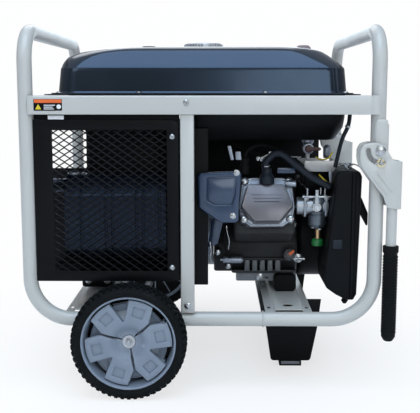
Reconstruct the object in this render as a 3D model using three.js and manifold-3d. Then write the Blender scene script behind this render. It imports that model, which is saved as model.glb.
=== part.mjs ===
// Open-frame portable generator on a two-wheel kit.
// Millimetres, +Z up. X runs along the machine (wheels at -X, lifting handles at +X),
// Y runs across it (the muffler side is -Y, the control panel side is +Y), Z = 0 is the ground.
// Pieces are laid out about the middle of the tube frame; one outer group then centres the
// whole outline, handles included, over the origin.

import * as THREE from 'three';
import { mergeVertices } from 'three/addons/utils/BufferGeometryUtils.js';
import Module from 'manifold-3d';

const wasm = await Module();
wasm.setup();

// ---------------------------------------------------------------- driving dimensions

const GAP = 0.3; // clearance left between pieces that touch
const SHEET = 2; // pressed sheet steel

// tube frame
const TUBE_R = 14;
const HALF_LENGTH = 331; // middle plane to post centre line
const HALF_WIDTH = 284; // middle plane to the centre line of a side
const RUN_Z = 139; // centre line of the bottom tubes
const CROSSBAR_Z = 689.5; // centre line of the top crossbars
const LOWER_BEND_R = 80;
const UPPER_BEND_R = 60;
const WELD_X = 118; // where the two hoops are welded end to end
const SIDE_FACE = HALF_WIDTH + TUBE_R; // outermost line of the side tubes

// rails, centre posts and cross channels
const RAIL_Z = [534, 569];
const RAIL_T = 3;
const POST_X = [-40.5, -14.5];
const CHANNEL_WIDTH = 92;
const CHANNEL_TOP = 154;
const CHANNEL_RIGHT_X = 124;
const CHANNEL_LEFT_X = -269;
const FLANGE_Z = 146; // underside of the channels' flanges
const CHANNEL_END_Y = 269.5;

// wheels and support leg
const WHEEL_R = 110;
const WHEEL_X = -137;
const WHEEL_Y = [308, 358];
const RIM_R = 90;
const AXLE_R = 8;
const WHEEL_SIDES = 22;
const LEG_X = [117, 216];
const LEG_WALL_Z = 138; // lower edge of the leg's side walls
const LEG_PLATE_Y = 155;
const LEG_PLATE_Z = 11.5;
const FOOT_X = [161, 207.6];
const FOOT_HEIGHT = 11;

// folding lifting handles
const PIVOT = { x: 332, z: 467.4 };
const LOCK_PIN = { x: 333.3, z: 445 };
const SLOT_R = Math.hypot(LOCK_PIN.x - PIVOT.x, LOCK_PIN.z - PIVOT.z);
const HANDLE_X = 359;
const HANDLE_Y = HALF_WIDTH + 11.5;
const HANDLE_OUTER_X = 374;
const HANDLE_TUBE_R = 10;
const GRIP_R = 15;
const GRIP_Z = [99.8, 287];
const ARM_PLATE_Y = [[HALF_WIDTH + 22.1, HALF_WIDTH + 24.6], [HALF_WIDTH - 20.5, HALF_WIDTH - 18]];

// fuel tank
const TANK_FLANGE_Z = 569.4;
const TANK_FLANGE = { upper: 290, lower: 304, y: 270, corner: 30 }; // half lengths and half width
const TANK_X = [-285, 284];
const TANK_Y = 240;
const CREASE_Z = 622;
const TANK_TOP_Z = 664;
const CAP_X = -1.6;
const GAUGE_X = -121;
const CAP_R = 43;
const NECK_R = 30;

// muffler guard: a box of sheet steel round the muffler, open at the wheel end
const GUARD_X = [-317.4, -44];
const GUARD_Z = [214.8, 524];
const GUARD_Y = [-291, -289]; // the panel
const GUARD_BACK_Y = [-142, -140];
const GUARD_TOP_Z = [519, 521];
const WINDOW_X = [-281.6, -66];
const WINDOW_Z = [234.9, 505.4];
const HEADER = { y: -175, z: 345, r: 15 }; // exhaust pipe from the cylinder to the muffler

// engine and alternator, both on the crankshaft's axis
const CRANK_Z = 278;
const CYLINDER_X = 125;
const CYLINDER_TILT = 21; // degrees above level, leaning out to -Y
const CRANKCASE_X = [22, 199.7];
const CYLINDER_BASE = 100; // crankshaft axis to cylinder foot
const HEAD_FACE = 205; // crankshaft axis to the valve cover's joint
const COVER_FACE = 241; // crankshaft axis to the valve cover's outer face
const BLOWER_X = [200, 262];
const BLOWER_R = 112;
const RECOIL_X = 300;
const ALTERNATOR_X = [-237, 21.7];
const ALTERNATOR_R = 105;
const END_BELL_X = [-262, -237.4];
const CRANK_R = 15;

// control panel
const PANEL_X = [-8, 280];
const PANEL_Z = [290, 468];
const PANEL_Y = [200, 262];

// ---------------------------------------------------------------- geometry helpers

const AXES = {
  x: new THREE.Matrix4().makeBasis(
    new THREE.Vector3(0, 1, 0), new THREE.Vector3(0, 0, 1), new THREE.Vector3(1, 0, 0)),
  y: new THREE.Matrix4().makeBasis(
    new THREE.Vector3(1, 0, 0), new THREE.Vector3(0, 0, 1), new THREE.Vector3(0, -1, 0)),
  z: new THREE.Matrix4(),
};

// Leaves only merged positions, with the faces pointing out.
function clean(geometry) {
  const bare = geometry.clone();
  bare.deleteAttribute('normal');
  bare.deleteAttribute('uv');
  const merged = mergeVertices(bare, 1e-4);
  const at = merged.getAttribute('position');
  const index = merged.getIndex();
  const [a, b, c] = [new THREE.Vector3(), new THREE.Vector3(), new THREE.Vector3()];
  let volume = 0;
  for (let i = 0; i < index.count; i += 3) {
    a.fromBufferAttribute(at, index.getX(i));
    b.fromBufferAttribute(at, index.getX(i + 1));
    c.fromBufferAttribute(at, index.getX(i + 2));
    volume += a.dot(b.cross(c));
  }
  if (volume < 0) {
    for (let i = 0; i < index.count; i += 3) {
      const first = index.getX(i);
      index.setX(i, index.getX(i + 1));
      index.setX(i + 1, first);
    }
  }
  return merged;
}

function toSolid(geometry) {
  const merged = clean(geometry);
  return new wasm.Manifold(new wasm.Mesh({
    numProp: 3,
    vertProperties: new Float32Array(merged.getAttribute('position').array),
    triVerts: new Uint32Array(merged.getIndex().array),
  }));
}

function toGeometry(solid) {
  const mesh = solid.getMesh();
  const geometry = new THREE.BufferGeometry();
  geometry.setAttribute('position', new THREE.BufferAttribute(mesh.vertProperties, 3));
  geometry.setIndex(new THREE.BufferAttribute(mesh.triVerts, 1));
  return geometry;
}

const join = (...shapes) => toGeometry(shapes.map(toSolid).reduce((all, next) => all.add(next)));

const common = (...shapes) => toGeometry(
  shapes.map(toSolid).reduce((all, next) => all.intersect(next)));

const cut = (base, ...tools) => toGeometry(
  tools.map(toSolid).reduce((left, tool) => left.subtract(tool), toSolid(base)));

function box([x0, x1], [y0, y1], [z0, z1]) {
  const geometry = new THREE.BoxGeometry(x1 - x0, y1 - y0, z1 - z0);
  return geometry.translate((x0 + x1) / 2, (y0 + y1) / 2, (z0 + z1) / 2);
}

// A flat outline pushed along an axis. Outlines lie in (y, z), (x, z) or (x, y).
function prism(axis, outline, [low, high], curveSegments = 1) {
  const shape = outline instanceof THREE.Shape
    ? outline
    : new THREE.Shape(outline.map(([u, v]) => new THREE.Vector2(u, v)));
  const geometry = new THREE.ExtrudeGeometry(shape, {
    depth: high - low, bevelEnabled: false, curveSegments,
  });
  geometry.applyMatrix4(AXES[axis]);
  const shift = { x: [low, 0, 0], y: [0, high, 0], z: [0, 0, low] }[axis];
  return geometry.translate(...shift);
}

function roundedRectangle([u0, u1], [v0, v1], r) {
  const shape = new THREE.Shape();
  const quarter = Math.PI / 2;
  shape.absarc(u1 - r, v0 + r, r, -quarter, 0, false);
  shape.absarc(u1 - r, v1 - r, r, 0, quarter, false);
  shape.absarc(u0 + r, v1 - r, r, quarter, 2 * quarter, false);
  shape.absarc(u0 + r, v0 + r, r, 2 * quarter, 3 * quarter, false);
  return shape;
}

// A round bar between two places on an axis; (u, v) is its centre in the other two coordinates.
function rod(axis, r, [low, high], [u, v], sides = 12) {
  const outline = [];
  for (let i = 0; i < sides; i += 1) {
    const turn = (2 * Math.PI * i) / sides;
    outline.push([u + r * Math.cos(turn), v + r * Math.sin(turn)]);
  }
  return prism(axis, outline, [low, high]);
}

// A profile of [radius, along] points turned about an axis through (u, v).
function turned(axis, profile, [u, v], sides = 16) {
  const geometry = new THREE.LatheGeometry(profile.map(([r, s]) => new THREE.Vector2(r, s)), sides);
  if (axis === 'x') geometry.rotateZ(-Math.PI / 2).translate(0, u, v);
  if (axis === 'y') geometry.translate(u, 0, v);
  if (axis === 'z') geometry.rotateX(Math.PI / 2).translate(u, v, 0);
  return geometry;
}

// A curve that visits its stations in even steps, so a sweep has one ring on each station.
class Stations extends THREE.Curve {
  constructor(points) {
    super();
    this.points = points;
  }

  getPoint(t) {
    const last = this.points.length - 1;
    const i = Math.min(Math.floor(t * last + 1e-6), last - 1);
    return this.points[i].clone().lerp(this.points[i + 1], t * last - i);
  }

  getPointAt(t) {
    return this.getPoint(t);
  }

  getTangentAt(t) {
    const last = this.points.length - 1;
    const i = Math.round(t * last);
    const before = this.points[Math.max(i, 1)].clone().sub(this.points[Math.max(i, 1) - 1]);
    const end = Math.min(i + 1, last);
    const after = this.points[end].clone().sub(this.points[end - 1]);
    return before.normalize().add(after.normalize()).normalize();
  }
}

// Replaces each inner corner of a route by an arc of the given radius.
function bent(corners, radii, stepsPerBend = 4) {
  const points = [corners[0].clone()];
  for (let i = 1; i < corners.length - 1; i += 1) {
    const back = corners[i - 1].clone().sub(corners[i]).normalize();
    const on = corners[i + 1].clone().sub(corners[i]).normalize();
    const half = back.angleTo(on) / 2;
    const r = radii[i - 1];
    const inward = back.clone().add(on).normalize();
    const centre = corners[i].clone().addScaledVector(inward, r / Math.sin(half));
    const from = corners[i].clone().addScaledVector(back, r / Math.tan(half)).sub(centre);
    const to = corners[i].clone().addScaledVector(on, r / Math.tan(half)).sub(centre);
    const sweep = from.angleTo(to);
    for (let k = 0; k <= stepsPerBend; k += 1) {
      const share = k / stepsPerBend;
      const a = Math.sin((1 - share) * sweep) / Math.sin(sweep);
      const b = Math.sin(share * sweep) / Math.sin(sweep);
      points.push(centre.clone().addScaledVector(from, a).addScaledVector(to, b));
    }
  }
  points.push(corners[corners.length - 1].clone());
  return points;
}

// A round tube swept along a list of stations.
function tube(points, r, sides = 10) {
  const section = [];
  for (let i = 0; i < sides; i += 1) {
    const turn = (2 * Math.PI * i) / sides;
    section.push(new THREE.Vector2(r * Math.cos(turn), r * Math.sin(turn)));
  }
  return new THREE.ExtrudeGeometry(new THREE.Shape(section), {
    steps: points.length - 1,
    extrudePath: new Stations(points),
    bevelEnabled: false,
  });
}

// A hose: a smooth curve through a few places, in short steps.
function hose(places, r, steps, sides = 8) {
  const points = places.map((place) => new THREE.Vector3(...place));
  const curve = new THREE.CatmullRomCurve3(points, false, 'centripetal');
  return tube(curve.getSpacedPoints(steps), r, sides);
}

const vec = (x, y, z) => new THREE.Vector3(x, y, z);

// Mirrors a list [low, high] of |y| values to the near (-1) or far (+1) side.
const span = (side, [low, high]) => (side > 0 ? [low, high] : [-high, -low]);

// ---------------------------------------------------------------- materials and nodes

function material(color, roughness, metalness) {
  return new THREE.MeshStandardMaterial({ color, roughness, metalness });
}

const FINISH = {
  cream: material(0xd3d9d8, 0.4, 0.1),
  black: material(0x15161a, 0.45, 0.2),
  gloss: material(0x0b0d12, 0.12, 0.2),
  rubber: material(0x17181a, 0.85, 0),
  rim: material(0x8f9aa8, 0.5, 0),
  alloy: material(0xa9abb0, 0.4, 0.8),
  darkAlloy: material(0x2a2c30, 0.5, 0.6),
  steel: material(0xc3c6c9, 0.3, 0.9),
  greyPaint: material(0x6f747c, 0.5, 0.3),
  blueBlack: material(0x26334d, 0.3, 0.3),
  plastic: material(0x1b1d22, 0.5, 0),
  copper: material(0x7a4a2c, 0.5, 0.6),
  red: material(0xa8281e, 0.4, 0),
};

const machine = new THREE.Group();
machine.position.x = -(HANDLE_OUTER_X - HALF_LENGTH - TUBE_R) / 2;

function add(name, geometry, finish, parent = machine) {
  const mesh = new THREE.Mesh(clean(geometry), finish);
  mesh.name = name;
  parent.add(mesh);
  return mesh;
}

const SIDES = [{ side: -1, tag: 'near' }, { side: 1, tag: 'far' }];

// ---------------------------------------------------------------- tube frame

// One bent tube: along the near bottom, up, across the top, down and along the far bottom.
function hoop(end) {
  const x = end * HALF_LENGTH;
  const joint = WELD_X + end * GAP;
  const corners = [
    vec(joint, -HALF_WIDTH, RUN_Z),
    vec(x, -HALF_WIDTH, RUN_Z),
    vec(x, -HALF_WIDTH, CROSSBAR_Z),
    vec(x, HALF_WIDTH, CROSSBAR_Z),
    vec(x, HALF_WIDTH, RUN_Z),
    vec(joint, HALF_WIDTH, RUN_Z),
  ];
  return tube(bent(corners, [LOWER_BEND_R, UPPER_BEND_R, UPPER_BEND_R, LOWER_BEND_R]), TUBE_R);
}

// Hinge plate and lock pin, welded to the outside of a right-hand post.
function hingeFitting(side) {
  const outline = roundedRectangle([323.6, 346.3], [432, 525.5], 5);
  const plate = prism('y', outline, span(side, [SIDE_FACE - 0.5, SIDE_FACE + 3.3]));
  const at = [LOCK_PIN.x, LOCK_PIN.z];
  const armFace = ARM_PLATE_Y[0][1];
  const pin = rod('y', 4, span(side, [SIDE_FACE - 6, armFace + 4]), at, 10);
  const washer = rod('y', 8.4, span(side, [armFace + 0.8, armFace + 3]), at);
  return [plate, pin, washer];
}

function frame() {
  add('frame_hoop_left', hoop(-1), FINISH.cream);
  const fittings = SIDES.flatMap(({ side }) => hingeFitting(side));
  const boltHoles = SIDES.map(({ side }) => (
    rod('y', 5.6, span(side, [HALF_WIDTH - 30, HALF_WIDTH + 30]), [PIVOT.x, PIVOT.z])));
  add('frame_hoop_right', cut(join(hoop(1), ...fittings), ...boltHoles), FINISH.cream);

  for (const { side, tag } of SIDES) {
    const face = box([-324, HALF_LENGTH], span(side, [SIDE_FACE + 1, SIDE_FACE + 1 + RAIL_T]), RAIL_Z);
    const shelfY = span(side, [256, SIDE_FACE + 1 + RAIL_T]);
    const shelf = box([-314, 314], shelfY, [RAIL_Z[1] - RAIL_T, RAIL_Z[1]]);
    add(`top_rail_${tag}`, join(face, shelf), FINISH.cream);

    const outer = box(POST_X, span(side, [SIDE_FACE - 12, SIDE_FACE + 0.5]), [154.5, 563]);
    const innerX = [POST_X[0] + SHEET, POST_X[1] - SHEET];
    const inner = box(innerX, span(side, [SIDE_FACE - 20, SIDE_FACE + 0.5 - SHEET]), [100, 600]);
    add(`center_post_${tag}`, cut(outer, inner), FINISH.cream);
  }

  for (const [tag, x] of [['left', CHANNEL_LEFT_X], ['right', CHANNEL_RIGHT_X]]) {
    const lip = 16;
    const top = [
      [x, FLANGE_Z], [x + lip, FLANGE_Z], [x + lip + 4, CHANNEL_TOP - SHEET],
      [x + CHANNEL_WIDTH - lip - 4, CHANNEL_TOP - SHEET], [x + CHANNEL_WIDTH - lip, FLANGE_Z],
      [x + CHANNEL_WIDTH, FLANGE_Z], [x + CHANNEL_WIDTH, FLANGE_Z + SHEET],
      [x + CHANNEL_WIDTH - lip + 1, FLANGE_Z + SHEET], [x + CHANNEL_WIDTH - lip - 4, CHANNEL_TOP],
      [x + lip + 4, CHANNEL_TOP], [x + lip - 1, FLANGE_Z + SHEET], [x, FLANGE_Z + SHEET],
    ];
    const holes = SIDES.map(({ side }) => (
      rod('z', 12, [FLANGE_Z - 5, CHANNEL_TOP + 5], [x + CHANNEL_WIDTH / 2, side * 190], 10)));
    const hat = prism('y', top, [-CHANNEL_END_Y, CHANNEL_END_Y]);
    add(`cross_channel_${tag}`, cut(hat, ...holes), FINISH.cream);
  }
}

// ---------------------------------------------------------------- wheels and support leg

function wheels() {
  const ends = SIDES.flatMap(({ side }) => [
    box([WHEEL_X - 15, WHEEL_X + 15], span(side, [276, 292]), [WHEEL_R - 6, RUN_Z - TUBE_R - GAP]),
    rod('y', 15, span(side, [299, 302]), [WHEEL_X, WHEEL_R]),
    rod('y', 13, span(side, [341.6, 350]), [WHEEL_X, WHEEL_R], 6),
  ]);
  add('axle', join(rod('y', AXLE_R, [-354, 354], [WHEEL_X, WHEEL_R]), ...ends), FINISH.steel);

  for (const { side, tag } of SIDES) {
    const [inner, outer] = WHEEL_Y;
    const middle = (side * (inner + outer)) / 2;
    const tread = [
      [RIM_R, -22], [98, -25], [107, -21], [WHEEL_R, -12], [WHEEL_R, 12],
      [107, 21], [98, 25], [RIM_R, 22], [RIM_R, -22],
    ].map(([r, s]) => [r, middle + s]);
    add(`tyre_${tag}`, turned('y', tread, [WHEEL_X, WHEEL_R], WHEEL_SIDES), FINISH.rubber);

    // the dished face looks outward on both sides
    const dish = [
      [AXLE_R + 1, -22], [22, -22], [24, 4], [72, 6], [76, -20], [RIM_R - 0.5, -20],
      [RIM_R - 0.5, 22], [76, 20], [70, 13], [30, 11], [22, 8], [AXLE_R + 1, 8], [AXLE_R + 1, -22],
    ].map(([r, s]) => [r, middle + side * s]);
    const windows = [];
    for (let i = 0; i < 6; i += 1) {
      const mid = Math.PI / 2 + (i * Math.PI) / 3;
      const half = i % 2 ? 0.14 : 0.24;
      const window = new THREE.Shape();
      window.absarc(WHEEL_X, WHEEL_R, 64, mid - half, mid + half, false);
      window.absarc(WHEEL_X, WHEEL_R, 36, mid + half, mid - half, true);
      windows.push(prism('y', window, [middle - 30, middle + 30]));
    }
    const disc = turned('y', dish, [WHEEL_X, WHEEL_R], WHEEL_SIDES);
    add(`rim_${tag}`, cut(disc, ...windows), FINISH.rim);
  }
}

function supportLeg() {
  const top = FLANGE_Z - GAP;
  const deck = box(LEG_X, [-268, 268], [top - SHEET, top]);
  const [left, right] = LEG_X;
  const walls = [[left, left + SHEET], [right - SHEET, right]].map((x) => (
    box(x, [-268, 268], [LEG_WALL_Z, top])));
  const plates = SIDES.flatMap(({ side }) => {
    const outline = [
      [left + 7, top], [left + 15, 84], [left + 25, LEG_PLATE_Z + 5], [left + 30, LEG_PLATE_Z],
      [right + 6, LEG_PLATE_Z], [right + 11, LEG_PLATE_Z + 5], [right + 24, 84], [right + 31, top],
    ];
    return [
      prism('y', outline, span(side, [LEG_PLATE_Y - 3, LEG_PLATE_Y])),
      box([FOOT_X[0] - 8, FOOT_X[1] + 8], span(side, [LEG_PLATE_Y - 30, LEG_PLATE_Y]),
        [FOOT_HEIGHT + GAP, FOOT_HEIGHT + 4]),
    ];
  });
  add('support_leg', join(deck, ...walls, ...plates), FINISH.black);
  for (const { side, tag } of SIDES) {
    const outline = roundedRectangle(FOOT_X, span(side, [LEG_PLATE_Y - 26, LEG_PLATE_Y]), 5);
    add(`leg_foot_${tag}`, prism('z', outline, [0, FOOT_HEIGHT]), FINISH.rubber);
  }
}

// ---------------------------------------------------------------- folding handles

function armOutline() {
  return [
    [313, 482.5], [300, 479], [294.5, 468], [294.5, 451], [298, 437], [314, 414.5], [339, 383],
    [347.5, 360], [351, 357.5], [HANDLE_OUTER_X - 2, 357.5], [HANDLE_OUTER_X, 360],
    [HANDLE_OUTER_X, 447], [371, 450], [355.5, 450.5], [347, 465], [342, 475], [326, 482],
  ];
}

// The crescent that the lock pin runs in while the arm swings up.
function slotOutline(halfWidth) {
  const shape = new THREE.Shape();
  const [low, high] = [THREE.MathUtils.degToRad(-192), THREE.MathUtils.degToRad(-70)];
  shape.absarc(PIVOT.x, PIVOT.z, SLOT_R + halfWidth, low, high, false);
  shape.absarc(PIVOT.x, PIVOT.z, SLOT_R - halfWidth, high, low, true);
  return shape;
}

function handles() {
  for (const { side, tag } of SIDES) {
    const [near, back] = ARM_PLATE_Y;
    const plates = [near, back].map((range) => prism('y', armOutline(), span(side, range)));
    const web = box([HANDLE_OUTER_X - 2.5, HANDLE_OUTER_X], span(side, [back[0], near[1]]), [360, 447]);
    const bar = rod('z', HANDLE_TUBE_R, [GRIP_Z[1] - 60, 425], [HANDLE_X, side * HANDLE_Y]);
    const bridge = box(
      [HANDLE_X - 6, HANDLE_OUTER_X - 1], span(side, [HANDLE_Y - 4, HANDLE_Y + 4]), [362, 420]);
    const slot = prism('y', slotOutline(5), span(side, [near[0] - 2, near[1] + 2]), 4);
    const hole = rod('y', 5.6, span(side, [250, 320]), [PIVOT.x, PIVOT.z]);
    add(`handle_arm_${tag}`, cut(join(...plates, web, bar, bridge), slot, hole), FINISH.cream);

    const [tip, mouth] = GRIP_Z;
    const grip = turned('z', [
      [0, tip], [9, tip + 2], [GRIP_R, tip + 12], [GRIP_R, mouth], [HANDLE_TUBE_R + 0.6, mouth],
      [HANDLE_TUBE_R + 0.6, mouth - 62], [0, mouth - 62],
    ], [HANDLE_X, side * HANDLE_Y], 12);
    add(`handle_grip_${tag}`, grip, FINISH.rubber);

    const shank = rod('y', 5, span(side, [back[0] - 8, near[1] + 8]), [PIVOT.x, PIVOT.z]);
    const head = rod('y', 9, span(side, [near[1] + 0.6, near[1] + 7]), [PIVOT.x, PIVOT.z], 6);
    const nut = rod('y', 9, span(side, [back[0] - 7, back[0] - 0.6]), [PIVOT.x, PIVOT.z], 6);
    add(`pivot_bolt_${tag}`, join(shank, head, nut), FINISH.steel);
  }
}

// ---------------------------------------------------------------- fuel tank

// Three crossing outlines (seen from above, from the side and from the end), kept where they
// agree. inset shrinks all of them, for the hollow inside.
function tankUpperForm(inset) {
  const [left, right] = [TANK_X[0] + inset, TANK_X[1] - inset];
  const y = TANK_Y - inset;
  const base = TANK_FLANGE_Z - (inset ? 5 : 0);
  const top = TANK_TOP_Z - inset;
  const above = prism('z', roundedRectangle([left, right], [-y, y], 42), [base, top], 2);
  const side = prism('y', [
    [left, base], [right, base], [right - 6, CREASE_Z], [right - 20, top - 28], [right - 35, top - 15],
    [right - 49, top - 6], [right - 81, top], [left + 165, top], [left + 87, top - 3],
    [left + 39, top - 10], [left + 15, top - 21], [left + 6, CREASE_Z],
  ], [-y, y]);
  const end = prism('x', [
    [-y, base], [y, base], [y - 7, CREASE_Z], [y - 28, top - 13], [y - 48, top - 3], [y - 62, top],
    [62 - y, top], [48 - y, top - 3], [28 - y, top - 13], [7 - y, CREASE_Z],
  ], [left, right]);
  return common(above, side, end);
}

function tankLowerForm(inset) {
  const lip = TANK_FLANGE_Z + (inset ? 5 : 1);
  const floor = 480 + inset;
  const shallow = 540 + inset;
  const side = prism('y', [
    [TANK_X[0] + 19 + inset, lip], [TANK_X[0] + 33 + inset, shallow], [-36 + inset, shallow],
    [-28 + inset, floor], [262 - inset, floor], [279 - inset, 506], [281 - inset, 531],
    [281 - inset, lip],
  ], [-TANK_Y, TANK_Y]);
  const y = TANK_Y - 6 - inset;
  const end = prism('x', [
    [-y, lip], [8 - y, 520 + inset], [44 - y, floor], [y - 44, floor], [y - 8, 520 + inset], [y, lip],
  ], [TANK_X[0], TANK_X[1]]);
  return common(side, end);
}

function tankFlange(half, low) {
  const { y, corner } = TANK_FLANGE;
  return prism('z', roundedRectangle([-half, half], [-y, y], corner), [low, low + SHEET]);
}

function tank() {
  const neck = rod('z', NECK_R, [TANK_TOP_Z - 5, TANK_TOP_Z + 4], [CAP_X, 0], 16);
  const bore = rod('z', NECK_R - 4, [TANK_TOP_Z - 20, TANK_TOP_Z + 10], [CAP_X, 0], 16);
  const gauge = rod('z', 15, [TANK_TOP_Z - 5, TANK_TOP_Z + 10], [GAUGE_X, 0]);
  const rollover = rod('z', 14, [TANK_TOP_Z - 10, TANK_TOP_Z + 6], [205, -120]);
  const upperFoot = TANK_FLANGE_Z + SHEET + GAP;
  const rim = tankFlange(TANK_FLANGE.upper, upperFoot);
  const upper = join(tankUpperForm(0), rim, neck, gauge, rollover);
  const below = box([-400, 400], [-400, 400], [TANK_FLANGE_Z - 20, upperFoot]);
  add('tank_upper_shell', cut(upper, tankUpperForm(SHEET), bore, below), FINISH.gloss);

  const valve = join(
    rod('z', 9, [455, 484], [214, -150]),
    rod('y', 11, [-168, -140], [214, 461]),
    rod('z', 4, [440, 456], [214, -150], 8),
  );
  const above = box([-400, 400], [-400, 400], [TANK_FLANGE_Z + SHEET, TANK_FLANGE_Z + 30]);
  const brim = tankFlange(TANK_FLANGE.lower, TANK_FLANGE_Z);
  const lower = cut(join(tankLowerForm(0), brim), tankLowerForm(SHEET), above);
  add('tank_lower_shell', join(lower, valve), FINISH.black);

  const cap = turned('z', [
    [0, 4.5], [NECK_R + 2, 4.5], [NECK_R + 2, 0.8], [CAP_R, 0.8],
    [CAP_R, 12], [CAP_R - 4, 16], [0, 16.5],
  ].map(([r, up]) => [r, TANK_TOP_Z + up]), [CAP_X, 0], 18);
  add('fuel_cap', cap, FINISH.greyPaint);

  const lever = join(rod('y', 8, [-174, -168.4], [214, 461]), box([214, 240], [-173.5, -170], [457, 465]));
  add('fuel_valve_lever', lever, FINISH.red);
  const route = [
    [288, -206, 548], [288.5, -213, 530], [284.5, -217, 508], [273, -217, 480], [262, -213, 428],
  ];
  add('vent_hose', hose(route, 4, 10), FINISH.rubber);
}

// ---------------------------------------------------------------- exhaust side

function guard() {
  const outline = new THREE.Shape();
  outline.moveTo(GUARD_X[0], GUARD_Z[0]);
  outline.lineTo(GUARD_X[1], GUARD_Z[0]);
  outline.absarc(GUARD_X[1] - 12, GUARD_Z[1] - 12, 12, 0, Math.PI / 2, false);
  outline.lineTo(GUARD_X[0], GUARD_Z[1]);
  const window = new THREE.Path();
  window.moveTo(WINDOW_X[0], WINDOW_Z[0]);
  window.lineTo(WINDOW_X[0], WINDOW_Z[1]);
  window.lineTo(WINDOW_X[1], WINDOW_Z[1]);
  window.lineTo(WINDOW_X[1], WINDOW_Z[0]);
  outline.holes.push(window);
  const panel = prism('y', outline, GUARD_Y);

  const length = [GUARD_X[0] + 1.6, GUARD_X[1]];
  const depth = [GUARD_Y[0], GUARD_BACK_Y[1]];
  const floor = box(length, depth, [GUARD_Z[0], GUARD_Z[0] + SHEET]);
  const top = box(length, depth, GUARD_TOP_Z);
  const back = cut(
    box(length, GUARD_BACK_Y, [GUARD_Z[0], GUARD_TOP_Z[1]]),
    box([GUARD_X[0] - 1, -241], [-150, -130], [419, 497]));
  const fold = cut(
    box([GUARD_X[1] - SHEET, GUARD_X[1]], depth, [GUARD_Z[0], GUARD_TOP_Z[1]]),
    rod('x', HEADER.r + 3, [-60, -30], [HEADER.y, HEADER.z], 16));
  const upright = box([-316.6, -42], [-285, -283], [504, 545]);
  const heatShield = box([GUARD_X[1] - SHEET, 11], [-215, -213], [190, 505]);
  add('muffler_guard', join(panel, floor, top, back, fold, upright, heatShield), FINISH.black);

  // expanded sheet: rows of diamonds between thin strands
  const sheet = new THREE.Shape();
  const [x0, x1] = [WINDOW_X[0] - 8, WINDOW_X[1] + 8];
  const [z0, z1] = [WINDOW_Z[0] - 8, WINDOW_Z[1] + 8];
  sheet.moveTo(x0, z0);
  sheet.lineTo(x1, z0);
  sheet.lineTo(x1, z1);
  sheet.lineTo(x0, z1);
  const [columns, rows, strand] = [4, 6, 3];
  const pitchX = (WINDOW_X[1] - WINDOW_X[0]) / columns;
  const pitchZ = (WINDOW_Z[1] - WINDOW_Z[0]) / rows;
  for (let row = 0; row < 2 * rows - 1; row += 1) {
    for (let column = 0; column < columns - (row % 2); column += 1) {
      const u = WINDOW_X[0] + pitchX * (column + 0.5 + (row % 2) / 2);
      const v = WINDOW_Z[0] + (pitchZ * (row + 1)) / 2;
      const [a, b] = [pitchX / 2 - strand, pitchZ / 2 - strand];
      const diamond = [[u - a, v], [u, v + b], [u + a, v], [u, v - b]];
      sheet.holes.push(new THREE.Path(diamond.map(([p, q]) => new THREE.Vector2(p, q))));
    }
  }
  add('guard_mesh', prism('y', sheet, [GUARD_Y[1] + GAP, GUARD_Y[1] + GAP + 1.5]), FINISH.black);
}

function exhaust() {
  const can = prism('x', roundedRectangle([-262, -150], [250, 415], 34), [-268, -66]);
  const core = roundedRectangle([-260, -152], [252, 413], 33);
  const ribs = [-240, -196, -186, -142, -132, -88].map((x) => (
    cut(box([x, x + 3], [-300, -100], [200, 460]), prism('x', core, [x - 1, x + 4]))));
  const header = rod('x', HEADER.r, [-70, 61.5], [HEADER.y, HEADER.z]);
  const flange = box([56, 61.5], [-200, -150], [322, 368]);
  const outlet = rod('x', 14, [-300, -260], [-200, 390]);
  add('muffler', join(cut(can, ...ribs), header, flange, outlet), FINISH.darkAlloy);

  const outline = [[-10, 418.5], [77, 422], [71, 320], [35, 320], [-8, 349]];
  const centre = [34, 372];
  const inside = outline.map(([u, v]) => [
    centre[0] + (u - centre[0]) * 0.94, centre[1] + (v - centre[1]) * 0.94,
  ]);
  const tray = cut(prism('y', outline, [-236, -218]), prism('y', inside, [-234, -210]));
  add('exhaust_shield', tray, FINISH.blueBlack);
}

// ---------------------------------------------------------------- engine

const cylinderAxis = new THREE.Group();
cylinderAxis.position.set(CYLINDER_X, 0, CRANK_Z);
cylinderAxis.rotation.x = THREE.MathUtils.degToRad(90 - CYLINDER_TILT);
machine.add(cylinderAxis);

// A place on the cylinder's centre plane, "along" its axis and "up" across it, as (y, z).
function onCylinder(along, up) {
  const tilt = THREE.MathUtils.degToRad(CYLINDER_TILT);
  return [
    -along * Math.cos(tilt) + up * Math.sin(tilt),
    CRANK_Z + along * Math.sin(tilt) + up * Math.cos(tilt),
  ];
}

const crank = [0, CRANK_Z];

function crankcase() {
  const outline = [
    [-95, 190.6], [95, 190.6], [125, 220], [125, 330], [80, 375],
    onCylinder(CYLINDER_BASE, 66), onCylinder(CYLINDER_BASE, -66), [-117, 215],
  ];
  const body = prism('x', outline, CRANKCASE_X);
  const ribs = [];
  for (let i = 0; i < 5; i += 1) {
    const x = 88 + i * 16;
    ribs.push(box([x, x + 9], [-126, -100], [196, 222]));
  }
  const chamber = rod('x', 64, [90, 160], crank, 16);
  const shaftBore = rod('x', CRANK_R + 3, [0, 220], crank, 16);
  add('crankcase', cut(join(body, ...ribs), chamber, shaftBore), FINISH.darkAlloy);

  const profile = [
    [0, -141], [11, -141], [13, -137], [13, -130], [8, -130], [8, -117.5], [0, -117.5],
  ];
  add('oil_cap', turned('y', profile, [181, 236], 10), FINISH.plastic);
}

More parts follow.
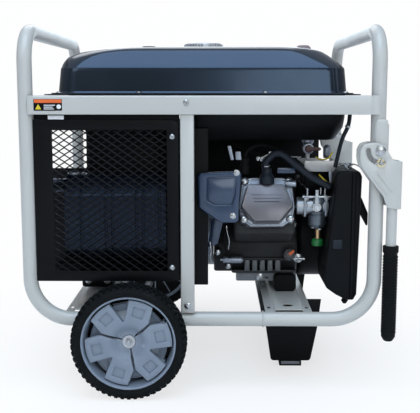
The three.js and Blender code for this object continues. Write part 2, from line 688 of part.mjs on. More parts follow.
function cylinderAndHead() {
  const core = box([-45, 45], [-47, 47], [CYLINDER_BASE + GAP, HEAD_FACE - GAP]);
  const fins = [];
  for (let i = 0; i < 7; i += 1) {
    const at = CYLINDER_BASE + 14 + i * 12;
    fins.push(box([-61, 61], [-58, 58], [at, at + 3.5]));
  }
  add('cylinder', join(core, ...fins), FINISH.darkAlloy, cylinderAxis);

  const outline = [
    [-31, 50], [-46, 43], [-56, -15], [-48, -40], [-29, -50],
    [29, -50], [48, -40], [56, -15], [46, 43], [33, 50],
  ];
  const raised = outline.map(([u, v]) => [u * 0.84, v * 0.84]);
  add('valve_cover', join(
    prism('z', outline, [HEAD_FACE, HEAD_FACE + 14]),
    prism('z', raised, [HEAD_FACE + 10, COVER_FACE]),
  ), FINISH.alloy, cylinderAxis);

  const route = [
    [84, -185, 440], [90, -180, 458], [120, -160, 468], [165, -130, 450], [196, -100, 418],
  ];
  const lead = hose(route, 3.5, 12, 6);
  const boot = rod('z', 10, [412, 446], [84, -185]);
  add('spark_plug_cap', join(boot, lead), FINISH.rubber);
}

function intake() {
  const places = [
    rod('z', 21, [294, 332], [226, -200]),
    box([203, 248], [-220, -180], [330, 368]),
    rod('x', 17, [188, 249.8], [-200, 349]),
    rod('z', 5, [262, 296], [226, -200], 8),
    rod('z', 9, [262, 272], [226, -200]),
    rod('y', 5, [-226.5, -218], [226, 349], 8),
  ];
  add('carburetor', join(...places), FINISH.alloy);
  const lever = cut(
    join(rod('y', 9, [-224.5, -221], [226, 349]), box([222, 230], [-224.5, -221], [352, 384])),
    rod('y', 5.6, [-230, -215], [226, 349], 8));
  add('choke_lever', lever, FINISH.steel);

  const y = [-262, -140];
  const base = [[256, 425], [291.7, 425], [291.7, 172], [282, 170], [247, 205], [245, 220]];
  const hollow = [[260, 421], [300, 421], [300, 176], [283, 175], [251, 207], [249, 221]];
  add('air_cleaner_base', cut(
    prism('y', base, y),
    prism('y', hollow, [y[0] + 4, y[1] - 4]),
    rod('x', 12, [240, 262], [-200, 349]),
  ), FINISH.plastic);
  const cover = [[292.1, 425], [303, 425], [308, 416], [302.5, 180], [296, 171], [292.1, 171]];
  const coverHollow = [[280, 421], [301, 421], [304, 415], [298.5, 182], [294, 175], [280, 175]];
  add('air_cleaner_cover', cut(
    prism('y', cover, y),
    prism('y', coverHollow, [y[0] + 4, y[1] - 4]),
  ), FINISH.plastic);

  const bail = bent([
    vec(277, -176, 429), vec(303, -176, 429), vec(303, -150, 429), vec(277, -150, 429),
  ], [5, 5], 3);
  add('air_cleaner_latch', tube(bail, 2, 8), FINISH.steel);

  const breather = [
    [124, -204, 414], [126, -206, 438], [150, -213, 456],
    [184, -219, 433], [216, -221, 408], [251.6, -221, 390],
  ];
  add('breather_hose', hose(breather, 5.5, 16), FINISH.rubber);
}

function recoilStarter() {
  const [x0, x1] = BLOWER_X;
  const drum = rod('x', BLOWER_R, [x0, x1], crank, 24);
  const inside = rod('x', BLOWER_R - 5, [x0 + 4, x1 + 5], crank, 24);
  const shaftBore = rod('x', CRANK_R + 3, [x0 - 5, x0 + 10], crank, 16);
  const shelf = join(
    box([202, 255], [-212, -40], [430, 432]),
    box([202, 255], [-212, -210], [419, 441]),
    box([212, 236], [-62, -40], [370, 431]),
  );
  add('blower_housing', cut(join(drum, shelf), inside, shaftBore), FINISH.black);

  const dome = turned('x', [
    [0, RECOIL_X], [40, RECOIL_X], [70, RECOIL_X - 8], [96, x1 + 8], [100, x1 + GAP],
    [92, x1 + GAP], [66, RECOIL_X - 12], [0, RECOIL_X - 5],
  ], crank, 20);
  const guide = rod('x', 9, [RECOIL_X - 20, RECOIL_X + 3], [-52, 320]);
  const eye = rod('x', 5, [RECOIL_X - 30, RECOIL_X + 10], [-52, 320], 8);
  add('recoil_cover', cut(join(dome, guide), eye), FINISH.black);
  const pull = join(
    prism('x', roundedRectangle([-84, -20], [312, 328], 7), [RECOIL_X + 4, RECOIL_X + 20]),
    rod('x', 4, [RECOIL_X - 2, RECOIL_X + 6], [-52, 320], 8),
  );
  add('recoil_grip', pull, FINISH.plastic);
}

// Everything that turns with the crankshaft.
function rotatingAssembly() {
  const shaft = rod('x', CRANK_R, [-252, 258], crank, 12);
  const web = roundedRectangle([-24, 24], [CRANK_Z - 50, CRANK_Z + 48], 16);
  const webs = [[106, 118], [132, 144]].map((x) => join(prism('x', web, x), rod('x', 20, x, crank)));
  const crankPin = rod('x', 12, [110, 140], [0, CRANK_Z + 34]);
  const journalGap = box([118.5, 131.5], [-30, 30], [CRANK_Z - 60, CRANK_Z + 20]);
  add('crankshaft', join(cut(shaft, journalGap), ...webs, crankPin), FINISH.steel);

  const disc = rod('x', 78, [222, 236], crank, 20);
  const blades = [];
  for (let i = 0; i < 8; i += 1) {
    const blade = box([234, 254], [70, 98], [-2, 2]).rotateX((i * Math.PI) / 4);
    const spoke = box([224, 236], [40, 98], [-2, 2]).rotateX((i * Math.PI) / 4);
    blades.push(blade.translate(0, 0, CRANK_Z), spoke.translate(0, 0, CRANK_Z));
  }
  const flywheelBore = rod('x', CRANK_R + 0.8, [200, 270], crank, 12);
  add('flywheel_fan', cut(join(disc, ...blades), flywheelBore), FINISH.darkAlloy);

  const rotorBore = rod('x', CRANK_R + 0.8, [-260, 20], crank, 12);
  add('rotor', cut(rod('x', 68, [-215, -45], crank, 16), rotorBore), FINISH.copper);
}

function alternator() {
  const [x0, x1] = ALTERNATOR_X;
  const shell = turned('x', [
    [0, x0], [ALTERNATOR_R, x0], [ALTERNATOR_R, -48], [88, -6], [88, x1], [0, x1],
  ], crank, 24);
  const inside = turned('x', [[0, x0 - 9], [78, x0 - 9], [78, -30], [0, -20]], crank, 20);
  const shaftBore = rod('x', CRANK_R + 3, [-60, 40], crank, 16);
  add('alternator_housing', cut(shell, inside, shaftBore), FINISH.alloy);

  const [b0, b1] = END_BELL_X;
  const bell = turned('x', [[0, b0], [70, b0], [96, b0 + 12], [ALTERNATOR_R - 2, b1], [0, b1]], crank, 24);
  const blindBore = rod('x', CRANK_R + 3, [b0 + 5, b1 + 5], crank, 16);
  add('alternator_end_bell', cut(bell, blindBore), FINISH.darkAlloy);
}

// ---------------------------------------------------------------- supports and electrics

function supports() {
  const rails = SIDES.map(({ side }) => box([70, 199], span(side, [76, 99.6]), [171, 190.2]));
  const straps = [[84, 104], [128, 140]].map((x) => box(x, [-80, 80], [178, 190.2]));
  add('engine_rail', join(...rails, ...straps), FINISH.greyPaint);

  for (const { side, tag } of SIDES) {
    const outline = roundedRectangle([150, 197], [CHANNEL_TOP + GAP, 189.8], 8);
    add(`engine_mount_${tag}`, prism('y', outline, span(side, [100, 126])), FINISH.rubber);
    const pad = box([-246, -200], span(side, [45, 85]), [CHANNEL_TOP + GAP, 182]);
    add(`alternator_mount_${tag}`, pad, FINISH.rubber);
  }
}

function electrics() {
  const grown = ([low, high], by) => [low - by, high + by];
  const outer = box(PANEL_X, PANEL_Y, PANEL_Z);
  const inner = box(
    grown(PANEL_X, -SHEET), [PANEL_Y[0] - 5, PANEL_Y[1] - SHEET], grown(PANEL_Z, -SHEET));
  add('control_panel_box', cut(outer, inner), FINISH.black);
  const face = roundedRectangle(grown(PANEL_X, 4), grown(PANEL_Z, 4), 8);
  add('control_panel_face', prism('y', face, [PANEL_Y[1] + 0.4, PANEL_Y[1] + 4]), FINISH.plastic);

  // the rocker rests tipped to its off side
  const [rockY, rockZ, tip] = [268, 434, THREE.MathUtils.degToRad(-13)];
  const rocker = prism('x', [[-1.6, 0], [1.2, 11], [5, 12], [9, 0], [5, -12], [1.2, -11]], [40, 66]);
  add('main_breaker', rocker.rotateX(tip).translate(0, rockY, rockZ), FINISH.plastic);
  const key = join(rod('y', 11, [266.4, 272], [262, 436]), box([260, 264], [270, 286], [428, 444]));
  add('key_switch', key, FINISH.steel);
  add('battery', join(
    box([130, 212], [131, 264], [CHANNEL_TOP + GAP, 246]),
    box([140, 152], [140, 152], [244, 254]),
    box([190, 202], [140, 152], [244, 254]),
  ), FINISH.plastic);
}

frame();
wheels();
supportLeg();
handles();
tank();
guard();
exhaust();
crankcase();
cylinderAndHead();
intake();
recoilStarter();
rotatingAssembly();
alternator();
supports();
electrics();

const generator = new THREE.Group();
generator.add(machine);

export default generator;
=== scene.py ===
"""Portable generator on a two-wheel kit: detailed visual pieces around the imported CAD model.

Shapes are laid out in millimetres about the middle of the tube frame, as the machine is drawn:
X along it (wheels at -X), Y across it (muffler side at -Y), Z up. Each piece is put into the
model's own frame, in metres, when it is made.
"""

import math

import bmesh
import bpy
from mathutils import Matrix, Vector
from mathutils.geometry import delaunay_2d_cdt


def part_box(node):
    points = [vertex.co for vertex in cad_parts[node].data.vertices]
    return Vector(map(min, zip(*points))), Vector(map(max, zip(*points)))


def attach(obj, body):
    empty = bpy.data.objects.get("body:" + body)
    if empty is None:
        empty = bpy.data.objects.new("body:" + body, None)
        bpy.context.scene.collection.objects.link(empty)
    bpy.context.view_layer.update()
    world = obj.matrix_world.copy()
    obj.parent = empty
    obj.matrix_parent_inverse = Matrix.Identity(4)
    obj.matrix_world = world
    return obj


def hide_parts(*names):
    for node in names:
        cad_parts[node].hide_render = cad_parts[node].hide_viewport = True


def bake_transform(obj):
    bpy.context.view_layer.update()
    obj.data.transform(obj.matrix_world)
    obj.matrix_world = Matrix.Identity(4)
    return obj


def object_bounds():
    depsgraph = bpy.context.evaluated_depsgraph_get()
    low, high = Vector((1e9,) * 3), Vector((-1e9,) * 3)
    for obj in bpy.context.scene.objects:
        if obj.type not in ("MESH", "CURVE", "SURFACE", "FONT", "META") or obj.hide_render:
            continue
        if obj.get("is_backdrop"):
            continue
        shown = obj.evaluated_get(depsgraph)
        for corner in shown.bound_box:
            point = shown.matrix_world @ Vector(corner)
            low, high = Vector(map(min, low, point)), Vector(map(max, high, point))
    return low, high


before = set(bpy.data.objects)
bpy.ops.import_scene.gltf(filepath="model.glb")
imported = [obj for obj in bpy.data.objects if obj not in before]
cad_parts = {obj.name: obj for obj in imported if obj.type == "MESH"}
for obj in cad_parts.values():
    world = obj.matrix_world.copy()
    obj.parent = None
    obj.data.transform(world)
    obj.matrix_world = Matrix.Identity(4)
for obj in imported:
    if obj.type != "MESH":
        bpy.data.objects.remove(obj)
CAD_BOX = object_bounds()

# ---------------------------------------------------------------- driving dimensions, mm

TUBE_R = 14
HALF_LENGTH = 331  # middle of the frame to a post's centre line
HALF_WIDTH = 284  # middle of the frame to a side's centre line
RUN_Z = 139  # bottom tubes
CROSSBAR_Z = 689.5
LOWER_BEND_R = 80
UPPER_BEND_R = 60
WELD_X = 118
SIDE_FACE = HALF_WIDTH + TUBE_R

WHEEL_X = -137
WHEEL_Z = 110
WHEEL_MIDDLE_Y = 333

PIVOT = (332, 467.4)
LOCK_PIN = (333.3, 445)
SLOT_R = math.dist(PIVOT, LOCK_PIN)
HANDLE_X = 359
HANDLE_Y = HALF_WIDTH + 11.5

HEADER = (-175, 345)  # the exhaust pipe's y and z
CRANK_Z = 278
CRANK = (0, CRANK_Z)  # the crankshaft's y and z
ROPE_Y, ROPE_Z = -52, 320  # where the starter rope comes out
CYLINDER_X = 125
CYLINDER_TILT = 21  # degrees above level

TANK_CREASE_Z = 622
TANK_TOP_Z = 664
CAP_X = -1.6
GAUGE_X = -121

COVER_OUTLINE = [(-30, 51, 8), (-46, 46, 7), (-53, -10, 10), (-49, -36, 8), (-30, -49, 8), (34, -49, 8),
                 (54, -35, 8), (59, -8, 10), (53, 46, 7), (36, 51, 8)]
CRANKCASE_BOSSES = ((52, 210), (30, 240), (50, 330), (190, 300))
BACKDROP = (0.99, 0.993, 0.996)
FLOOR_HALF, FLOOR_Z = 12, -0.0005  # metres
LAMPS_AIM = (0, 0, 0.35)
CAMERA_AT = (0.0154, -1.8308, 0.5803)
CAMERA_DOWN, CAMERA_TURN = 0.1418672, 0.0094359  # radians
CAMERA_LENS, CAMERA_SENSOR = 70.286, 36

# the frame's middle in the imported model, which is centred over its whole outline
OFFSET_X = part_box("frame_hoop_left")[0].x * 1000 + HALF_LENGTH + TUBE_R

SIDES = (("near", -1), ("far", 1))


def cad(node):
    """A CAD node's box as three (low, high) pairs in machine millimetres."""
    low, high = (Vector(corner) * 1000 - Vector((OFFSET_X, 0, 0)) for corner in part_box(node))
    return list(zip(low, high))


def to_frame(point):
    """A point in the model's own frame, in metres."""
    return Vector(((point[0] + OFFSET_X) / 1000, point[1] / 1000, point[2] / 1000))


# ---------------------------------------------------------------- shapes


class Shape:
    """Points in machine millimetres, and faces over them."""

    def __init__(self, points=(), faces=()):
        self.points = [Vector(point) for point in points]
        self.faces = list(faces)

    def __add__(self, other):
        return join([self, other])

    def put(self, matrix):
        return Shape([matrix @ point for point in self.points], self.faces)

    def moved(self, x=0, y=0, z=0):
        return self.put(Matrix.Translation((x, y, z)))

    def turned(self, axis, degrees, about=(0, 0, 0)):
        there = Matrix.Translation(about)
        return self.put(there @ Matrix.Rotation(math.radians(degrees), 4, axis) @ there.inverted())

    def mirrored(self):
        return self.put(Matrix.Scale(-1, 4, (0, 1, 0)))

    def on_side(self, side):
        """A shape drawn for the far side (+Y), or its mirror image for the near side."""
        return self if side > 0 else self.mirrored()


def join(shapes):
    """Several shapes as one."""
    points, faces = [], []
    for shape in shapes:
        start = len(points)
        points += shape.points
        faces += [tuple(i + start for i in face) for face in shape.faces]
    return Shape(points, faces)


def around(shape, axis, about, count):
    """Copies of a shape, evenly turned about an axis."""
    return join([shape.turned(axis, 360 * i / count, about) for i in range(count)])


def polar(centre, r, turn):
    """The flat point at a radius and an angle, in radians, about a centre."""
    return (centre[0] + r * math.cos(turn), centre[1] + r * math.sin(turn))


def arc(centre, r, start, end, steps=8):
    """Points on an arc between two angles in degrees."""
    turns = [math.radians(start + (end - start) * i / steps) for i in range(steps + 1)]
    return [polar(centre, r, turn) for turn in turns]


def spread_turns(count, first=0):
    """Angles in radians, evenly spread round a circle from a first one in degrees."""
    return [math.radians(first + 360 * i / count) for i in range(count)]


def ring_slots(centre, inner, outer, turns):
    """One slot for each angle in turns; inner and outer are each (radius, half its angle there)."""
    return [[polar(centre, inner[0], turn - inner[1]), polar(centre, outer[0], turn - outer[1]),
             polar(centre, outer[0], turn + outer[1]), polar(centre, inner[0], turn + inner[1])]
            for turn in turns]


def circle(centre, r, sides=24):
    """A closed round outline."""
    return arc(centre, r, 0, 360, sides)[:-1]


def rounded(corners, r=0.0, steps=4, closed=True):
    """An outline whose corners, (u, v) or (u, v, radius), are rounded off."""
    outline = []
    count = len(corners)
    for i, corner in enumerate(corners):
        radius = corner[2] if len(corner) > 2 else r
        here = Vector(corner[:2])
        if radius <= 0 or (not closed and i in (0, count - 1)):
            outline.append(tuple(here))
            continue
        back = Vector(corners[i - 1][:2]) - here
        on = Vector(corners[(i + 1) % count][:2]) - here
        half = back.angle(on) / 2
        if half > math.radians(89):
            outline.append(tuple(here))
            continue
        reach = min(radius / math.tan(half), 0.49 * min(back.length, on.length))
        radius = reach * math.tan(half)
        centre = here + (back.normalized() + on.normalized()).normalized() * radius / math.sin(half)
        start = here + back.normalized() * reach - centre
        end = here + on.normalized() * reach - centre
        first = math.atan2(start.y, start.x)
        sweep = (math.atan2(end.y, end.x) - first + math.pi) % (2 * math.pi) - math.pi
        for k in range(steps + 1):
            turn = first + sweep * k / steps
            outline.append((centre.x + radius * math.cos(turn), centre.y + radius * math.sin(turn)))
    return outline


def rectangle(u, v, r=0.0, steps=4):
    """An outline over two (low, high) pairs, its corners rounded."""
    return rounded([(u[0], v[0]), (u[1], v[0]), (u[1], v[1]), (u[0], v[1])], r, steps)


def signed_area(loop):
    """A loop's area, positive when it runs anticlockwise."""
    return sum(a[0] * b[1] - b[0] * a[1] for a, b in zip(loop, loop[1:] + loop[:1])) / 2


def inset(loop, distance):
    """Moves the sides of a loop to their left."""
    moved = []
    for i, point in enumerate(loop):
        back = (Vector(point) - Vector(loop[i - 1])).normalized()
        on = (Vector(loop[(i + 1) % len(loop)]) - Vector(point)).normalized()
        left = Vector((-back.y, back.x))
        middle = left + Vector((-on.y, on.x))
        middle = middle.normalized() if middle.length > 1e-6 else left
        moved.append(Vector(point) + middle * distance / max(middle.dot(left), 0.4))
    return moved


def within(point, loop):
    """Whether a flat point lies inside a loop."""
    inside = False
    for a, b in zip(loop, loop[1:] + loop[:1]):
        if (a[1] > point[1]) != (b[1] > point[1]):
            inside ^= point[0] < a[0] + (b[0] - a[0]) * (point[1] - a[1]) / (b[1] - a[1])
    return inside


def fill(loops):
    """Triangles inside the first loop and outside the rest, as indices into all their points."""
    points, edges = [], []
    for loop in loops:
        start, count = len(points), len(loop)
        points += [Vector(point[:2]) for point in loop]
        edges += [(start + i, start + (i + 1) % count) for i in range(count)]
    places, _, triangles, sources, _, _ = delaunay_2d_cdt(points, edges, [], 1, 1e-6)
    index = [source[0] if source else min(range(len(points)),
                                          key=lambda i: (points[i] - place).length)
             for place, source in zip(places, sources)]
    faces = []
    for triangle in triangles:
        middle = sum((places[i] for i in triangle), Vector((0, 0))) / 3
        if within(middle, loops[0]) and not any(within(middle, hole) for hole in loops[1:]):
            faces.append(tuple(index[i] for i in triangle))
    return [face for face in faces if len(set(face)) == 3]


PLANES = {
    "x": lambda u, v, w: Vector((w, u, v)),
    "y": lambda u, v, w: Vector((u, w, v)),
    "z": lambda u, v, w: Vector((u, v, w)),
}


def plate(axis, outline, low, high, holes=(), edge=0.5, steps=2):
    """A flat outline with holes, given thickness along an axis, its edges rounded."""
    loops = [outline if signed_area(outline) > 0 else outline[::-1]]
    loops += [hole if signed_area(hole) < 0 else hole[::-1] for hole in holes]
    edge = min(edge, (high - low) * 0.49)
    turns = [math.pi / 2 * k / steps for k in range(steps + 1)] if edge > 0 else [math.pi / 2]
    rise = [(edge * (1 - math.sin(turn)), edge * (1 - math.cos(turn))) for turn in turns]
    levels = [(low + up, into) for into, up in rise] + [(high - up, into) for into, up in rise[::-1]]
    at = PLANES[axis]
    points, faces = [], []
    per_level = sum(len(loop) for loop in loops)
    for height, into in levels:
        for loop in loops:
            points += [at(p[0], p[1], height) for p in inset(loop, into)]
    for level in range(len(levels) - 1):
        first = level * per_level
        for loop in loops:
            count = len(loop)
            for i in range(count):
                a, b = first + i, first + (i + 1) % count
                faces.append((a, b, b + per_level, a + per_level))
            first += count
    cap = fill([inset(loop, levels[0][1]) for loop in loops])
    top = per_level * (len(levels) - 1)
    faces += cap + [tuple(i + top for i in triangle) for triangle in cap]
    return Shape(points, faces)


def slab(x, y, z, r=1.0, edge=None):
    """A block with rounded upright corners and softened rims."""
    return plate("z", rectangle(x, y, r), z[0], z[1], edge=min(r, 1.0) if edge is None else edge)


def lathe(axis, profile, centre=(0, 0), sides=48, span=None):
    """A profile of (radius, along) turned about an axis, all round or over a span of degrees."""
    at = PLANES[axis]
    closed = profile[0][0] > 1e-6 or profile[-1][0] > 1e-6
    low, high = span or (0, 360)
    columns = sides if span is None else sides + 1
    points, rings = [], []
    for r, along in profile:
        if r < 1e-6 and span is None:
            rings.append([len(points)] * columns)
            points.append(at(centre[0], centre[1], along))
            continue
        rings.append(list(range(len(points), len(points) + columns)))
        for i in range(columns):
            turn = math.radians(low + (high - low) * i / sides)
            points.append(at(centre[0] + r * math.cos(turn), centre[1] + r * math.sin(turn), along))
    pairs = list(zip(rings, rings[1:]))
    if closed:
        pairs.append((rings[-1], rings[0]))
    faces = []
    for one, two in pairs:
        for i in range(sides):
            j = (i + 1) % columns
            face = tuple(dict.fromkeys((one[i], one[j], two[j], two[i])))
            if len(face) > 2:
                faces.append(face)
    if span is not None:
        faces += [tuple(ring[0] for ring in rings), tuple(ring[-1] for ring in rings)]
    return Shape(points, faces)


def sweep(path, r, sides=16, closed=False):
    """A round tube along a path. r is one radius, or one per point."""
    path = [Vector(point) for point in path]
    count = len(path)
    radii = list(r) if isinstance(r, (list, tuple)) else [r] * count
    section = circle((0, 0), 1, sides)
    steps = [path[(i + 1) % count] - path[i] for i in range(count)]
    if not closed:
        steps[-1] = steps[-2]
    normal = steps[0].orthogonal().normalized()
    points = []
    for i, here in enumerate(path):
        back = steps[i - 1] if closed or i else steps[0]
        tangent = (back.normalized() + steps[i].normalized()).normalized()
        normal = (normal - tangent * normal.dot(tangent)).normalized()
        across = tangent.cross(normal)
        points += [here + (normal * u + across * v) * radii[i] for u, v in section]
    size = sides
    faces = []
    for i in range(count if closed else count - 1):
        one, two = i * size, (i + 1) % count * size
        faces += [(one + k, one + (k + 1) % size, two + (k + 1) % size, two + k) for k in range(size)]
    if not closed:
        faces += [tuple(range(size)), tuple(range((count - 1) * size, count * size))]
    return Shape(points, faces)


def bent(corners, radii, steps=12):
    """A route through corners, each replaced by an arc."""
    corners = [Vector(corner) for corner in corners]
    path = [corners[0]]
    for i in range(1, len(corners) - 1):
        back = (corners[i - 1] - corners[i]).normalized()
        on = (corners[i + 1] - corners[i]).normalized()
        half = back.angle(on) / 2
        r = radii[i - 1] if isinstance(radii, (list, tuple)) else radii
        centre = corners[i] + (back + on).normalized() * r / math.sin(half)
        start = corners[i] + back * r / math.tan(half) - centre
        end = corners[i] + on * r / math.tan(half) - centre
        path += [centre + start.slerp(end, k / steps) * r for k in range(steps + 1)]
    return path + [corners[-1]]


def flowing(places, steps=8):
    """A smooth route through a few places."""
    places = [Vector(place) for place in places]
    ends = [places[0] * 2 - places[1]] + places + [places[-1] * 2 - places[-2]]
    path = []
    for a, b, c, d in zip(ends, ends[1:], ends[2:], ends[3:]):
        for k in range(steps):
            t = k / steps
            path.append(0.5 * (2 * b + (c - a) * t + (2 * a - 5 * b + 4 * c - d) * t * t
                               + (3 * b - 3 * c + d - a) * t ** 3))
    return path + [places[-1]]


def loft(rings):
    """A skin over rings of equally many points, closed at both ends."""
    size = len(rings[0])
    points = [point for ring in rings for point in ring]
    faces = []
    for i in range(len(rings) - 1):
        one, two = i * size, (i + 1) * size
        faces += [(one + k, one + (k + 1) % size, two + (k + 1) % size, two + k) for k in range(size)]
    return Shape(points, faces + [tuple(range(size)), tuple(range(len(points) - size, len(points)))])


def bolt(axis, centre, foot, out, size=5.0, flange=True):
    """A hex bolt head that stands on foot and points out (+1 or -1) along an axis."""
    height = 0.62 * size
    parts = [plate(axis, circle(centre, size, 6), *sorted((foot, foot + out * height)), edge=0.5)]
    if flange:
        parts.append(lathe(axis, [(0, foot), (size * 1.45, foot), (size * 1.45, foot + out * 0.6),
                                  (size * 0.9, foot + out * 1.8), (0, foot + out * 1.8)], centre, 24))
    return join(parts)


def pan_screw(axis, centre, foot, out, size=5.0):
    """A domed screw head with a cross recess."""
    rim = [(0, foot), (size, foot), (size, foot + out * 0.9), (size * 0.82, foot + out * 2.0),
           (size * 0.62, foot + out * 2.5), (size * 0.6, foot + out * 1.2), (0, foot + out * 1.2)]
    arm, wide = size * 0.5, size * 0.13
    cross = [(wide, wide), (wide, arm), (-wide, arm), (-wide, wide), (-arm, wide), (-arm, -wide),
             (-wide, -wide), (-wide, -arm), (wide, -arm), (wide, -wide), (arm, -wide), (arm, wide)]
    cross = [(centre[0] + u, centre[1] + v) for u, v in cross]
    face = sorted((foot + out * 1.6, foot + out * 2.7))
    return lathe(axis, rim, centre, 24) + plate(
        axis, circle(centre, size * 0.64, 20), *face, holes=[cross], edge=0.2)


def ring(axis, centre, inner, outer, low, high, sides=32):
    """A washer or collar with softened rims."""
    ease = min(0.4, (high - low) / 4)
    return lathe(axis, [(inner, low), (outer - ease, low), (outer, low + ease), (outer, high - ease),
                        (outer - ease, high), (inner, high)], centre, sides)


# ---------------------------------------------------------------- materials


def surface(name, colour, roughness, metallic=0.0, mottle=0.05, mottle_scale=14, grain=0.15,
            grain_scale=1400, depth=0.0001, smudge=0.05, coat=0.0, coat_roughness=0.08,
            specular=0.5, edge=None, dust=None, painted_sky_tint=(1, 1, 1)):
    """A procedural finish: mottled colour, uneven roughness and a fine grained relief.

    edge is a (colour, amount) along sharp edges, partly wear and partly a painted highlight; dust is a
    (colour, amount) that settles in soft patches; the colour given to the reflections paints in the sky's
    blue.
    """
    material = bpy.data.materials.new(name)
    material.use_nodes = True
    tree = material.node_tree
    shader = tree.nodes["Principled BSDF"]
    for socket, value in (("Metallic", metallic), ("IOR", 1.5), ("Specular IOR Level", specular),
                          ("Coat Weight", coat), ("Coat Roughness", coat_roughness),
                          ("Coat IOR", 1.6)):
        shader.inputs[socket].default_value = value
    place = tree.nodes.new("ShaderNodeTexCoord").outputs["Object"]

    def noise(scale, detail=4.0, rough=0.55):
        node = tree.nodes.new("ShaderNodeTexNoise")
        node.inputs["Scale"].default_value = scale
        node.inputs["Detail"].default_value = detail
        node.inputs["Roughness"].default_value = rough
        tree.links.new(place, node.inputs["Vector"])
        return node.outputs["Fac"]

    def spread(value, low, high, start=0.3, end=0.7):
        node = tree.nodes.new("ShaderNodeMapRange")
        for socket, number in (("From Min", start), ("From Max", end), ("To Min", low),
                               ("To Max", high)):
            node.inputs[socket].default_value = number
        tree.links.new(value, node.inputs["Value"])
        return node.outputs["Result"]

    def blend(amount, under, over):
        node = tree.nodes.new("ShaderNodeMix")
        node.data_type = "RGBA"
        tree.links.new(amount, node.inputs["Factor"])
        for socket, value in ((node.inputs[6], under), (node.inputs[7], over)):
            if isinstance(value, bpy.types.NodeSocket):
                tree.links.new(value, socket)
            else:
                socket.default_value = (*value, 1)
        return node.outputs[2]

    dark = [channel * (1 - mottle) for channel in colour]
    light = [min(channel * (1 + mottle) + mottle * 0.001, 1) for channel in colour]
    base = blend(spread(noise(mottle_scale), 0, 1), dark, light)
    if dust:
        base = blend(spread(noise(mottle_scale * 2.3, 6), 0, dust[1], 0.45, 0.75), base, dust[0])
    if edge:
        # convex rims take the edge colour: partly wear, partly a painted highlight
        sharp = tree.nodes.new("ShaderNodeNewGeometry").outputs["Pointiness"]
        base = blend(spread(sharp, 0, edge[1], 0.53, 0.62), base, edge[0])
    tree.links.new(base, shader.inputs["Base Color"])
    # reflections coloured blue by the material itself: a painted sky reflection, the same under any lamp
    shader.inputs["Specular Tint"].default_value = (*painted_sky_tint, 1)
    rough = spread(noise(mottle_scale * 1.7, 5), max(roughness - smudge, 0.02), roughness + smudge)
    tree.links.new(rough, shader.inputs["Roughness"])
    bump = tree.nodes.new("ShaderNodeBump")
    bump.inputs["Strength"].default_value = grain
    bump.inputs["Distance"].default_value = depth
    tree.links.new(noise(grain_scale, 3), bump.inputs["Height"])
    tree.links.new(bump.outputs["Normal"], shader.inputs["Normal"])
    return material


